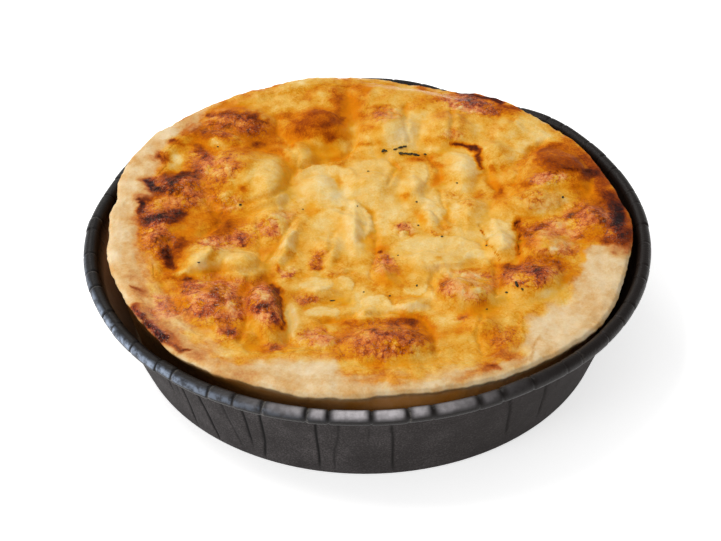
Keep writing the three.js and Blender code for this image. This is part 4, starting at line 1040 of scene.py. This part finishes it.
def baked_height(flat, inwards, from_edge, edge_height):
    """Height of the baked top, and how near the outline each place is, from 0 well inside to 1. The humps
    sink towards the outline, where a rounded lap runs, and strands, folds and melted slices lie on the
    rest."""
    x = flat[..., 0]
    y = flat[..., 1]
    warp_x = x + HUMP_WANDER * cloud(flat, 9.0, 41)
    warp_y = y + HUMP_WANDER * cloud(flat, 9.0, 42)
    baked = crust_plane(x, y) + relief(warp_x, warp_y)
    edge = smoothstep(CHEESE_BLEND, 0.0, inwards)
    sink = edge_height + crust_rise(from_edge) + crust_grain(x, y) - CHEESE_SINK
    z = mix(baked, sink, edge)
    lap = sink + np.interp(inwards, LAP_INWARDS, LAP_RISE)
    z = LAP_BLEND * np.log(np.exp((z - sink) / LAP_BLEND) + np.exp((lap - sink) / LAP_BLEND)) + sink
    z = z - edge * LAP_BLEND * math.log(2)
    z = z + (1 - edge) * (0.18 * cloud(flat, 5.0, 43, 2) + melted_strands(x, y))
    place = wandered(seen(np.stack([x, y, z], -1)), 0.6, 0.35)
    z = z + (1 - edge) * LINE_HEIGHT * (along_lines(place, STRANDS) - along_lines(place, FOLDS))
    for sheet in SHEETS:
        z = z + (1 - edge) * sheet[6] * slice_share(place, sheet)
    return z, edge


def gathered_oil_and_shade(z, flat, masks):
    """The listed oil, with what gathers in pools on the smooth cheese and in broad and in narrow hollows,
    where it is also a painted golden shade."""
    # Oil in the hollows, partly painted golden shade
    hollow_oil_and_shade = smoothstep(0.0, 0.6, blurred(z, 60) - z) + 0.4 * smoothstep(0.02, 0.2, blurred(z, 10) - z)
    pool = 0.3 * smoothstep(0.08, 0.32, cloud(flat, 5.0, 67)) * (1 - masks["crisp"])
    return np.clip(masks["oil"] + (0.5 * hollow_oil_and_shade + pool) * (1 - masks["bare"]), 0, 1)


def crinkles(flat, crisp):
    """Fine relief: wrinkles and blisters where the top is crisp, and soft ripples elsewhere."""
    bent = flat + 0.8 * np.stack([cloud(flat, 3.0, 64), cloud(flat, 3.0, 65), np.zeros_like(crisp)], -1)
    fine = 0.5 * crisp * (np.abs(noise(bent, 2.2, 61)) - 0.15) + (1 - crisp) * 0.12 * cloud(flat, 2.4, 62, 2)
    return fine + crisp * (0.25 * blisters(bent, 1.5, 63, 0.5) + 0.15 * cloud(flat, 1.2, 66, 2))


def filling_below(rim_points):
    """Rows of points under the outline: tucked in below it, down beside the pastry's lip, and at the
    bottom."""
    reach = np.hypot(rim_points[:, 0], rim_points[:, 1])
    angle = np.arctan2(rim_points[:, 1], rim_points[:, 0])
    inside = np.minimum(cheese_outline(angle), reach) - CHEESE_OVERLAP
    return [
        polar(reach - 0.5, angle, rim_points[:, 2] - 0.5),
        polar(inside - 1.0, angle, rim_points[:, 2] - 0.6),
        polar(np.full_like(inside, PASTRY_CORNER_RADIUS - 1), angle, np.full_like(inside, FILLING_BOTTOM)),
    ]


def cheese_filling():
    """The baked top as a height over a disc of even squares, and below its outline the sides and
    underside of the filling. The colour masks are worked out on the same grid."""
    share, angle = disc_grid(CHEESE_GRID)
    direction = np.arctan2(share * np.sin(angle), share * np.cos(angle))
    rim = polar(np.full_like(direction, CHEESE_RADIUS), direction, np.zeros_like(direction))
    outline = film_outline(direction) + FILM_OVERHANG + 0.5 * cloud(rim, 3.0, 31)
    edge_radius, edge_height = rough_edge(direction)
    outline = np.minimum(outline, edge_radius - 0.5 * CRUST_ROUND)
    radius = np.abs(share) * outline
    flat = polar(radius, direction, np.zeros_like(radius))
    z, edge = baked_height(flat, outline - radius, edge_radius - radius, edge_height)

    # Colour, and fine relief with painted shade: its pits browned darker and its tops lighter
    masks = colour_masks(np.stack([flat[..., 0], flat[..., 1], z], -1))
    masks["oil"] = gathered_oil_and_shade(z, flat, masks)
    crisp = smoothstep(0.0, 0.6, masks["crisp"])
    fine = crinkles(flat, crisp)
    pit_shade = np.clip(0.4 * (blurred(fine, 8) - fine), -0.06, 0.08)
    masks["toast"] = np.clip(masks["toast"] + crisp * pit_shade, 0, 1)
    z = z + (1 - edge) * fine

    # Top, sides and underside
    number = np.arange(CHEESE_GRID ** 2).reshape(CHEESE_GRID, CHEESE_GRID)
    loop = np.concatenate([number[:-1, 0], number[-1, :-1], number[:0:-1, -1], number[0, :0:-1]])
    top = np.stack([flat[..., 0], flat[..., 1], z], -1).reshape(-1, 3)
    below = filling_below(top[loop])
    rows = [loop] + [len(top) + k * len(loop) + np.arange(len(loop)) for k in range(len(below))]
    points = np.concatenate([top] + below + [[[0, 0, FILLING_BOTTOM]]])
    last = rows[-1]
    corners = [number[:-1, :-1], number[1:, :-1], number[1:, 1:], number[:-1, 1:]]
    faces = [np.stack(corners, -1).reshape(-1, 4)]
    faces += [strip_faces(lower, upper) for upper, lower in zip(rows[:-1], rows[1:])]
    faces.append(np.stack([np.roll(last, -1), last, np.full_like(last, len(points) - 1)], -1))
    unseen = np.zeros(len(points) - len(top))
    attributes = {key: np.append(values.ravel(), unseen) for key, values in masks.items()}
    return new_piece("baked_cheese", points, faces, attributes)


# Herb flecks

# Dark flecks on the cheese: x, y, half length, half width, turn in degrees
FLECKS = [
    (4.1, 25.1, 0.4, 0.8, -10), (4.5, 24.6, 0.3, 0.4, 30), (6.6, 25.5, 0.6, 0.35, 20),
    (7.6, 26.1, 0.7, 0.4, 30), (8.7, 26.6, 0.6, 0.35, 10), (7.9, 24.1, 0.5, 0.6, 40),
    (8.6, 23.7, 0.8, 0.4, -10), (9.8, 23.4, 0.6, 0.45, 30), (10.9, 23.2, 0.8, 0.4, -25),
    (11.6, 22.8, 0.3, 0.3, 0), (13.4, 23.4, 0.4, 0.3, 0), (42.1, 6.4, 0.5, 0.35, 40),
    (0.6, 17, 0.25, 0.35, 0), (10.8, 5.5, 0.25, 0.3, 0), (11, -2.8, 0.25, 0.25, 0),
    (15.6, -6.8, 0.25, 0.3, 0), (10, -23, 0.2, 0.35, 0), (4.5, -26, 0.25, 0.2, 0),
    (-7, -27.3, 0.55, 0.25, 10), (-27, 5.8, 0.3, 0.45, 10), (-33, 27.8, 0.3, 0.25, 0),
    (19.6, 12.2, 0.3, 0.25, 0), (-34.8, -14.4, 0.3, 0.25, 0), (28, -25.4, 0.35, 0.35, 0),
    (30, -23, 0.35, 0.8, 10), (31.2, -24.6, 0.3, 0.4, 0), (-2, 4.2, 0.2, 0.2, 0),
    (24.9, -10.2, 0.3, 0.2, 0), (23.4, -30.8, 0.25, 0.25, 0), (-0.8, -24.6, 0.2, 0.2, 0),
    (6.4, -13, 0.2, 0.2, 0), (-13.4, 3.6, 0.2, 0.2, 0),
]
FLECK_SIDES = 10
FLECK_RINGS = 6
FLECK_LUMPS = 0.6
FLECK_FLATNESS = 0.3


def herb_flecks(cheese):
    """Small flattened balls, each laid on the point of the cheese that the photographed view shows at its
    place."""
    surface = np.empty(len(cheese.data.vertices) * 3, np.float32)
    cheese.data.vertices.foreach_get("co", surface)
    surface = surface.reshape(-1, 3)[:CHEESE_GRID ** 2] / MM
    shown = seen(surface)
    turn = np.arange(FLECK_SIDES) / FLECK_SIDES * 2 * np.pi
    tilt = np.linspace(-np.pi / 2, np.pi / 2, FLECK_RINGS + 2)[1:-1]
    tilt, turn = np.meshgrid(tilt, turn, indexing="ij")
    ball = np.concatenate([polar(np.cos(tilt), turn, np.sin(tilt)).reshape(-1, 3), [[0, 0, -1], [0, 0, 1]]])
    number = np.arange(FLECK_RINGS * FLECK_SIDES).reshape(FLECK_RINGS, FLECK_SIDES)
    low_row = np.full(FLECK_SIDES, number.size)
    quads = np.concatenate([strip_faces(number[k], number[k + 1]) for k in range(FLECK_RINGS - 1)])
    caps = np.concatenate([
        np.stack([low_row, np.roll(number[0], -1), number[0]], -1),
        np.stack([low_row + 1, number[-1], np.roll(number[-1], -1)], -1),
    ])
    points = []
    faces = []
    for k, (x, y, half_long, half_wide, degrees) in enumerate(FLECKS):
        spot = surface[np.argmin(np.hypot(shown[:, 0] - x, shown[:, 1] - y))]
        lumpy = ball * (1 + FLECK_LUMPS * cloud(ball + spot, 1.1, 71, 2)[:, None])
        lumpy = lumpy * [half_long, half_wide, FLECK_FLATNESS * half_wide]
        turned = lumpy @ np.array(Matrix.Rotation(math.radians(degrees), 3, "Z").transposed())
        points.append(turned + spot)
        faces += [quads + k * len(ball), caps + k * len(ball)]
    return new_piece("herb_flecks", np.concatenate(points), faces)


# Materials

def linear(red, green, blue):
    """Linear colour from the 0 to 255 values of a screen colour."""
    shares = [value / 255 for value in (red, green, blue)]
    return tuple(s / 12.92 if s <= 0.04045 else ((s + 0.055) / 1.055) ** 2.4 for s in shares) + (1.0,)


class Nodes:
    """Short calls for building a node tree: each makes a node, sets its plain values and links its
    inputs."""

    def __init__(self, tree):
        self.tree = tree

    def link(self, source, target):
        self.tree.links.new(source, target)

    def put(self, socket, value):
        if isinstance(value, bpy.types.NodeSocket):
            self.link(value, socket)
        else:
            socket.default_value = value

    def attribute(self, name):
        node = self.tree.nodes.new("ShaderNodeAttribute")
        node.attribute_name = name
        return node.outputs["Fac"]

    def place(self):
        return self.tree.nodes.new("ShaderNodeTexCoord").outputs["Object"]

    def noise(self, vector, size, detail=3.0, rough=0.55):
        node = self.tree.nodes.new("ShaderNodeTexNoise")
        node.noise_type = "FBM"
        self.put(node.inputs["Vector"], vector)
        node.inputs["Scale"].default_value = 1.0 / (size * MM)
        node.inputs["Detail"].default_value = detail
        node.inputs["Roughness"].default_value = rough
        return node.outputs["Fac"]

    def math(self, operation, first, second=0.5, clamp=False):
        node = self.tree.nodes.new("ShaderNodeMath")
        node.operation = operation
        node.use_clamp = clamp
        self.put(node.inputs[0], first)
        self.put(node.inputs[1], second)
        return node.outputs[0]

    def plus(self, first, second, clamp=False):
        return self.math("ADD", first, second, clamp)

    def less(self, first, second):
        return self.math("SUBTRACT", first, second)

    def times(self, first, second, clamp=False):
        return self.math("MULTIPLY", first, second, clamp)

    def larger(self, first, second):
        return self.math("MAXIMUM", first, second)

    def ridge(self, vector, size, width):
        """Thin lines of this width, where a noise crosses its middle value."""
        away = self.math("ABSOLUTE", self.less(self.noise(vector, size, 2.0, 0.5), 0.5))
        return self.ramp(away, 0.0, width, 1.0, 0.0)

    def ramp(self, value, low, high, to_low=0.0, to_high=1.0):
        node = self.tree.nodes.new("ShaderNodeMapRange")
        node.interpolation_type = "SMOOTHSTEP"
        self.put(node.inputs["Value"], value)
        node.inputs["From Min"].default_value = low
        node.inputs["From Max"].default_value = high
        node.inputs["To Min"].default_value = to_low
        node.inputs["To Max"].default_value = to_high
        return node.outputs["Result"]

    def colours(self, value, stops):
        node = self.tree.nodes.new("ShaderNodeValToRGB")
        self.put(node.inputs["Fac"], value)
        elements = node.color_ramp.elements
        while len(elements) < len(stops):
            elements.new(0.5)
        for element, (place, colour) in zip(elements, stops):
            element.position = place
            element.color = linear(*colour)
        return node.outputs["Color"]

    def blend(self, first, second, share):
        node = self.tree.nodes.new("ShaderNodeMix")
        node.data_type = "RGBA"
        node.blend_type = "MIX"
        self.put(node.inputs["Factor"], share)
        self.put(node.inputs[6], first)
        self.put(node.inputs[7], second)
        return node.outputs[2]

    def group(self, tree):
        node = self.tree.nodes.new("ShaderNodeGroup")
        node.node_tree = tree
        return node.outputs

    def bump(self, height, distance, strength=1.0):
        node = self.tree.nodes.new("ShaderNodeBump")
        self.put(node.inputs["Height"], height)
        node.inputs["Distance"].default_value = distance * MM
        node.inputs["Strength"].default_value = strength
        return node.outputs["Normal"]


def new_material(name):
    """An empty material with its shader, and the calls to build its nodes."""
    material = bpy.data.materials.new(name)
    material.use_nodes = True
    shader = material.node_tree.nodes["Principled BSDF"]
    return material, shader, Nodes(material.node_tree)


TOAST_STOPS = [
    (0.0, (252, 229, 176)), (0.12, (250, 214, 138)), (0.24, (244, 191, 86)), (0.36, (232, 157, 30)),
    (0.48, (210, 112, 6)), (0.6, (168, 74, 5)), (0.74, (114, 43, 10)), (0.88, (58, 20, 13)),
    (1.0, (24, 8, 10)),
]
CRISP_STOPS = [
    (0.0, (252, 230, 184)), (0.15, (248, 208, 146)), (0.3, (242, 172, 98)), (0.42, (230, 136, 72)),
    (0.54, (200, 96, 50)), (0.66, (152, 62, 36)), (0.78, (96, 38, 32)), (0.9, (50, 20, 20)),
    (1.0, (24, 8, 12)),
]
PASTRY_STOPS = [
    (0.18, (248, 225, 185)), (0.45, (236, 202, 150)), (0.68, (224, 174, 108)), (0.92, (204, 122, 68)),
]
OIL_STOPS = [(0.08, (243, 190, 62)), (0.25, (240, 168, 22)), (0.45, (236, 138, 2))]
PAINTED_GLINT_COLOUR = (250, 208, 172)


def baked_group():
    """Colour, roughness and fine height that the cheese and the pastry share: a colour for each degree of
    browning, mottled and with painted glints where the crust is crisp; deep orange where oil gathers;
    floury beige where the pastry is bare."""
    tree = bpy.data.node_groups.new("baked surface", "ShaderNodeTree")
    for name in ("Colour", "Roughness", "Height"):
        kind = "NodeSocketColor" if name == "Colour" else "NodeSocketFloat"
        tree.interface.new_socket(name, in_out="OUTPUT", socket_type=kind)
    n = Nodes(tree)
    place = n.place()
    broad = n.noise(place, 9.0)
    mottle = n.noise(place, 2.6)
    grain = n.noise(place, 1.0, 3.0, 0.6)
    speckle = n.noise(place, 0.4, 2.0, 0.6)
    toast = n.attribute("toast")
    crisp = n.attribute("crisp")
    bare = n.attribute("bare")

    # Mottles, specks, thin veins and frizzled curls in the browning
    uneven = n.less(n.plus(n.times(mottle, 0.6), n.times(grain, 0.35)), 0.475)
    uneven = n.times(uneven, n.ramp(crisp, 0.1, 0.8, 0.25, 1.0))
    fine = n.times(n.less(speckle, 0.5), n.ramp(crisp, 0.1, 0.7, 0.25, 0.36))
    vein = n.times(n.ridge(place, 3.4, 0.035), n.ramp(broad, 0.45, 0.6))
    fine = n.plus(fine, n.times(vein, n.ramp(crisp, 0.0, 0.6, 0.06, 0.14)))
    curl = n.times(n.less(n.ridge(place, 1.4, 0.06), 0.22), n.ramp(toast, 0.2, 0.36))
    fine = n.plus(fine, n.times(curl, n.ramp(crisp, 0.0, 0.6, 0.05, 0.13)))
    varied = n.plus(toast, n.plus(uneven, fine), clamp=True)

    # Oily gold or dry brown, with painted glints where it is crisp and orange where oil gathers
    dry = n.times(n.ramp(crisp, 0.3, 0.75), n.ramp(n.noise(place, 2.8), 0.4, 0.52))
    colour = n.blend(n.colours(varied, TOAST_STOPS), n.colours(varied, CRISP_STOPS), dry)
    painted_glint = n.times(n.ramp(speckle, 0.57, 0.68, 0.0, 0.5), crisp)
    painted_glint = n.times(painted_glint, n.ramp(toast, 0.95, 0.6, 0.3, 1.0))
    colour = n.blend(colour, linear(*PAINTED_GLINT_COLOUR), painted_glint)
    oil = n.times(n.attribute("oil"), n.ramp(toast, 0.72, 0.5))
    colour = n.blend(colour, n.colours(toast, OIL_STOPS), n.times(oil, 0.85))

    # Bare pastry
    crumb = n.plus(n.times(broad, 0.6), n.times(grain, 0.4))
    crumb = n.plus(crumb, n.times(n.less(speckle, 0.5), 0.3))
    crumb = n.plus(crumb, n.times(n.less(toast, 0.32), 1.2))
    colour = n.blend(colour, n.colours(crumb, PASTRY_STOPS), bare)

    # Roughness, duller on smooth brown and on pastry, and fine height
    dull = n.times(n.ramp(toast, 0.34, 0.5, 0.0, 0.5), n.ramp(crisp, 0.2, 0.6, 1.0, 0.1))
    roughness = n.plus(n.ramp(crisp, 0.0, 0.7, 0.28, 0.18), n.times(bare, 0.3))
    roughness = n.plus(roughness, dull)
    bumps = n.plus(n.times(grain, 0.6), n.times(speckle, 0.3))
    height = n.times(bumps, n.larger(n.ramp(crisp, 0.0, 0.8, 0.4, 1.0), n.times(bare, 0.5)))
    end = tree.nodes.new("NodeGroupOutput")
    n.link(colour, end.inputs["Colour"])
    n.link(roughness, end.inputs["Roughness"])
    n.link(height, end.inputs["Height"])
    return tree


def baked_material(name, group, tones, depth, strength):
    """A material of the shared baked surface. Each tone is a colour, the attribute that lays it on, and
    how far it covers. The fine height is a bump of this depth and strength."""
    material, shader, n = new_material(name)
    baked = n.group(group)
    colour = baked["Colour"]
    for tone, attribute, cover in tones:
        colour = n.blend(colour, linear(*tone), n.times(n.attribute(attribute), cover))
    n.put(shader.inputs["Base Color"], colour)
    n.put(shader.inputs["Roughness"], baked["Roughness"])
    n.put(shader.inputs["Normal"], n.bump(baked["Height"], depth, strength))
    shader.inputs["Subsurface Scale"].default_value = 1.0 * MM
    return material, shader


def cheese_material(group):
    """Baked cheese: the shared baked surface, a little translucent and oily."""
    material, shader = baked_material("baked cheese", group, [], 0.45, 1.0)
    shader.inputs["Subsurface Weight"].default_value = 0.16
    shader.inputs["Subsurface Radius"].default_value = (1.1, 0.75, 0.35)
    shader.inputs["Specular IOR Level"].default_value = 0.13
    shader.inputs["Specular Tint"].default_value = (1.0, 0.62, 0.2, 1.0)
    return material


# Tones of the pastry's outer wall, the second a painted shade: colour, attribute, how far it covers
PASTRY_TONES = [((196, 116, 14), "side", 0.8), ((30, 18, 10), "painted_side_shade", 0.85)]


def pastry_material(group):
    """Shortcrust: the shared baked surface, darker golden down the outer wall, which has painted shade at
    one side."""
    material, shader = baked_material("pastry", group, PASTRY_TONES, 0.4, 0.5)
    shader.inputs["Subsurface Weight"].default_value = 0.15
    shader.inputs["Subsurface Radius"].default_value = (1.0, 0.6, 0.3)
    shader.inputs["Specular IOR Level"].default_value = 0.1
    return material


def fleck_material():
    """Charred herbs and pepper: near black with a green cast."""
    material, shader, n = new_material("herb flecks")
    mottled = n.noise(n.place(), 0.4, 2.0)
    n.put(shader.inputs["Base Color"], n.colours(mottled, [(0.35, (28, 24, 14)), (0.65, (80, 70, 40))]))
    shader.inputs["Roughness"].default_value = 0.7
    shader.inputs["Specular IOR Level"].default_value = 0.2
    return material


PAPER_STOPS = [(0.34, (36, 32, 32)), (0.5, (56, 52, 52)), (0.66, (86, 81, 81))]
# The inside's colour is partly painted light; the crease, shade, sheen and reflection colours are painted
INSIDE_PAPER_LIT = (190, 160, 125)
ROLL_PAPER = (20, 17, 16)
CREASE_SHADE_PAPER = (5, 4, 4)
RUBBED_PAPER = (150, 144, 136)
PAINTED_SHADE_PAPER = (26, 18, 14)
PAINTED_SHEEN_PAPER = (226, 220, 224)
PAINTED_REFLECTION_PAPER = (160, 174, 196)


def paper_material():
    """Dark baking paper: brown-black with a fine fleck, with painted shade in the creases and rubbed pale
    beside them, and painted shade towards the right. The roll has a painted sheen and a painted cool
    reflection, and the inside is browner, painted lighter at the left as if lit, with rubbed specks."""
    material, shader, n = new_material("dark paper")
    place = n.place()
    fleck = n.noise(place, 0.36, 3.0, 0.6)
    broad = n.noise(place, 6.0)
    streaky = n.noise(place, 1.6, 3.0, 0.6)
    roll = n.attribute("roll")
    inside = n.attribute("inside")
    specks = n.times(inside, n.ramp(n.noise(place, 2.2, 3.0, 0.7), 0.6, 0.68))
    rubbed = n.larger(n.times(n.attribute("worn"), n.ramp(fleck, 0.38, 0.55)), specks)
    colour = n.colours(n.plus(n.times(fleck, 0.7), n.times(broad, 0.3)), PAPER_STOPS)
    # Inside colour lightened at the left as painted light, then painted shade, sheen and cool reflection
    for tone, share in (
        (INSIDE_PAPER_LIT, inside),
        (ROLL_PAPER, n.times(roll, 0.9)),
        (CREASE_SHADE_PAPER, n.times(n.attribute("crease_shade"), 1.3, clamp=True)),
        (RUBBED_PAPER, n.times(rubbed, 0.55)),
        (PAINTED_SHADE_PAPER, n.times(n.attribute("painted_shade"), 0.85)),
        (PAINTED_SHEEN_PAPER, n.times(n.attribute("painted_sheen"), n.ramp(streaky, 0.3, 0.7, 0.6, 1.0))),
        (PAINTED_REFLECTION_PAPER, n.times(n.attribute("painted_reflection"), n.ramp(streaky, 0.35, 0.6, 0.2, 1.0))),
    ):
        colour = n.blend(colour, linear(*tone), share)
    n.put(shader.inputs["Base Color"], colour)
    n.put(shader.inputs["Roughness"], n.less(n.ramp(fleck, 0.2, 0.8, 0.78, 0.9), n.times(roll, 0.44)))
    n.put(shader.inputs["Normal"], n.bump(fleck, 0.15, 0.6))
    shader.inputs["Specular IOR Level"].default_value = 0.18
    return material


FLOOR_GLOW = 0.6


def floor_material():
    """Plain near-white floor, lit a little from below, with a barely visible cloud."""
    material, shader, n = new_material("pale floor")
    cloudy = n.noise(n.place(), 120.0, 2.0)
    n.put(shader.inputs["Base Color"], n.colours(cloudy, [(0.3, (248, 248, 248)), (0.7, (252, 252, 252))]))
    shader.inputs["Roughness"].default_value = 0.9
    shader.inputs["Specular IOR Level"].default_value = 0.1
    shader.inputs["Emission Color"].default_value = (1.0, 1.0, 1.0, 1.0)
    shader.inputs["Emission Strength"].default_value = FLOOR_GLOW
    return material


def dress(piece, material, node):
    """Gives a piece its material and ties it to the solid that it stands for."""
    piece.data.materials.append(material)
    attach(piece, "root")
    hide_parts(node)


# Stage, light and camera

CAMERA_AT = Vector(EYE.tolist()) * MM
CAMERA_TARGET = Vector((-1.5, 5.9, 7.2)) * MM
CAMERA_ROLL = math.radians(-1.05)
CAMERA_LENS = 90.55
SENSOR_WIDTH = 36.0
NEAREST = 0.01
FLOOR_HALF = 2000.0
SKY_STRENGTH = 0.47
LIT_POINT = Vector((0, 0, 0.015))

# Softboxes: name, place and side in metres, power in watts, colour
SOFTBOXES = [
    ("key", (-0.48, 0.05, 0.92), 0.36, 3.65, (1.0, 0.975, 0.94)),
    ("back", (-0.28, 0.75, 0.68), 0.3, 1.3, (1.0, 0.98, 0.96)),
    ("window", (-0.8, -0.6, 0.45), 0.4, 2.1, (0.95, 0.975, 1.0)),
]


def soft_light(name, place, size, power, colour):
    """A square softbox aimed at the quiche."""
    data = bpy.data.lights.new(name, "AREA")
    data.shape = "SQUARE"
    data.size = size
    data.energy = power
    data.color = colour
    light = bpy.data.objects.new(name, data)
    light.location = place
    light.rotation_euler = (LIT_POINT - Vector(place)).to_track_quat("-Z", "Y").to_euler()
    bpy.context.scene.collection.objects.link(light)


def stage():
    """Floor, plain sky, softboxes and the camera of the photographed view."""
    corners = FLOOR_HALF * np.array([[-1, -1, 0], [1, -1, 0], [1, 1, 0], [-1, 1, 0]])
    floor = new_piece("floor", corners, [np.array([[0, 1, 2, 3]])])
    floor.data.materials.append(floor_material())
    world = bpy.data.worlds.new("studio")
    world.use_nodes = True
    sky = world.node_tree.nodes["Background"].inputs
    sky["Color"].default_value = (1.0, 1.0, 1.0, 1.0)
    sky["Strength"].default_value = SKY_STRENGTH
    bpy.context.scene.world = world
    for softbox in SOFTBOXES:
        soft_light(*softbox)
    data = bpy.data.cameras.new("camera")
    data.sensor_width = SENSOR_WIDTH
    data.lens = CAMERA_LENS
    data.clip_start = NEAREST
    camera = bpy.data.objects.new("camera", data)
    facing = (CAMERA_TARGET - CAMERA_AT).to_track_quat("-Z", "Y").to_matrix().to_4x4()
    camera.matrix_world = Matrix.Translation(CAMERA_AT) @ facing @ Matrix.Rotation(CAMERA_ROLL, 4, "Z")
    bpy.context.scene.collection.objects.link(camera)
    bpy.context.scene.camera = camera
    bpy.context.scene.view_settings.view_transform = "Standard"


stage()
dress(paper_case(), paper_material(), "paper_case")
baked = baked_group()
dress(pastry_shell(), pastry_material(baked), "pastry_shell")
cheese = cheese_filling()
dress(cheese, cheese_material(baked), "cheese_filling")
dress(herb_flecks(cheese), fleck_material(), "cheese_filling")
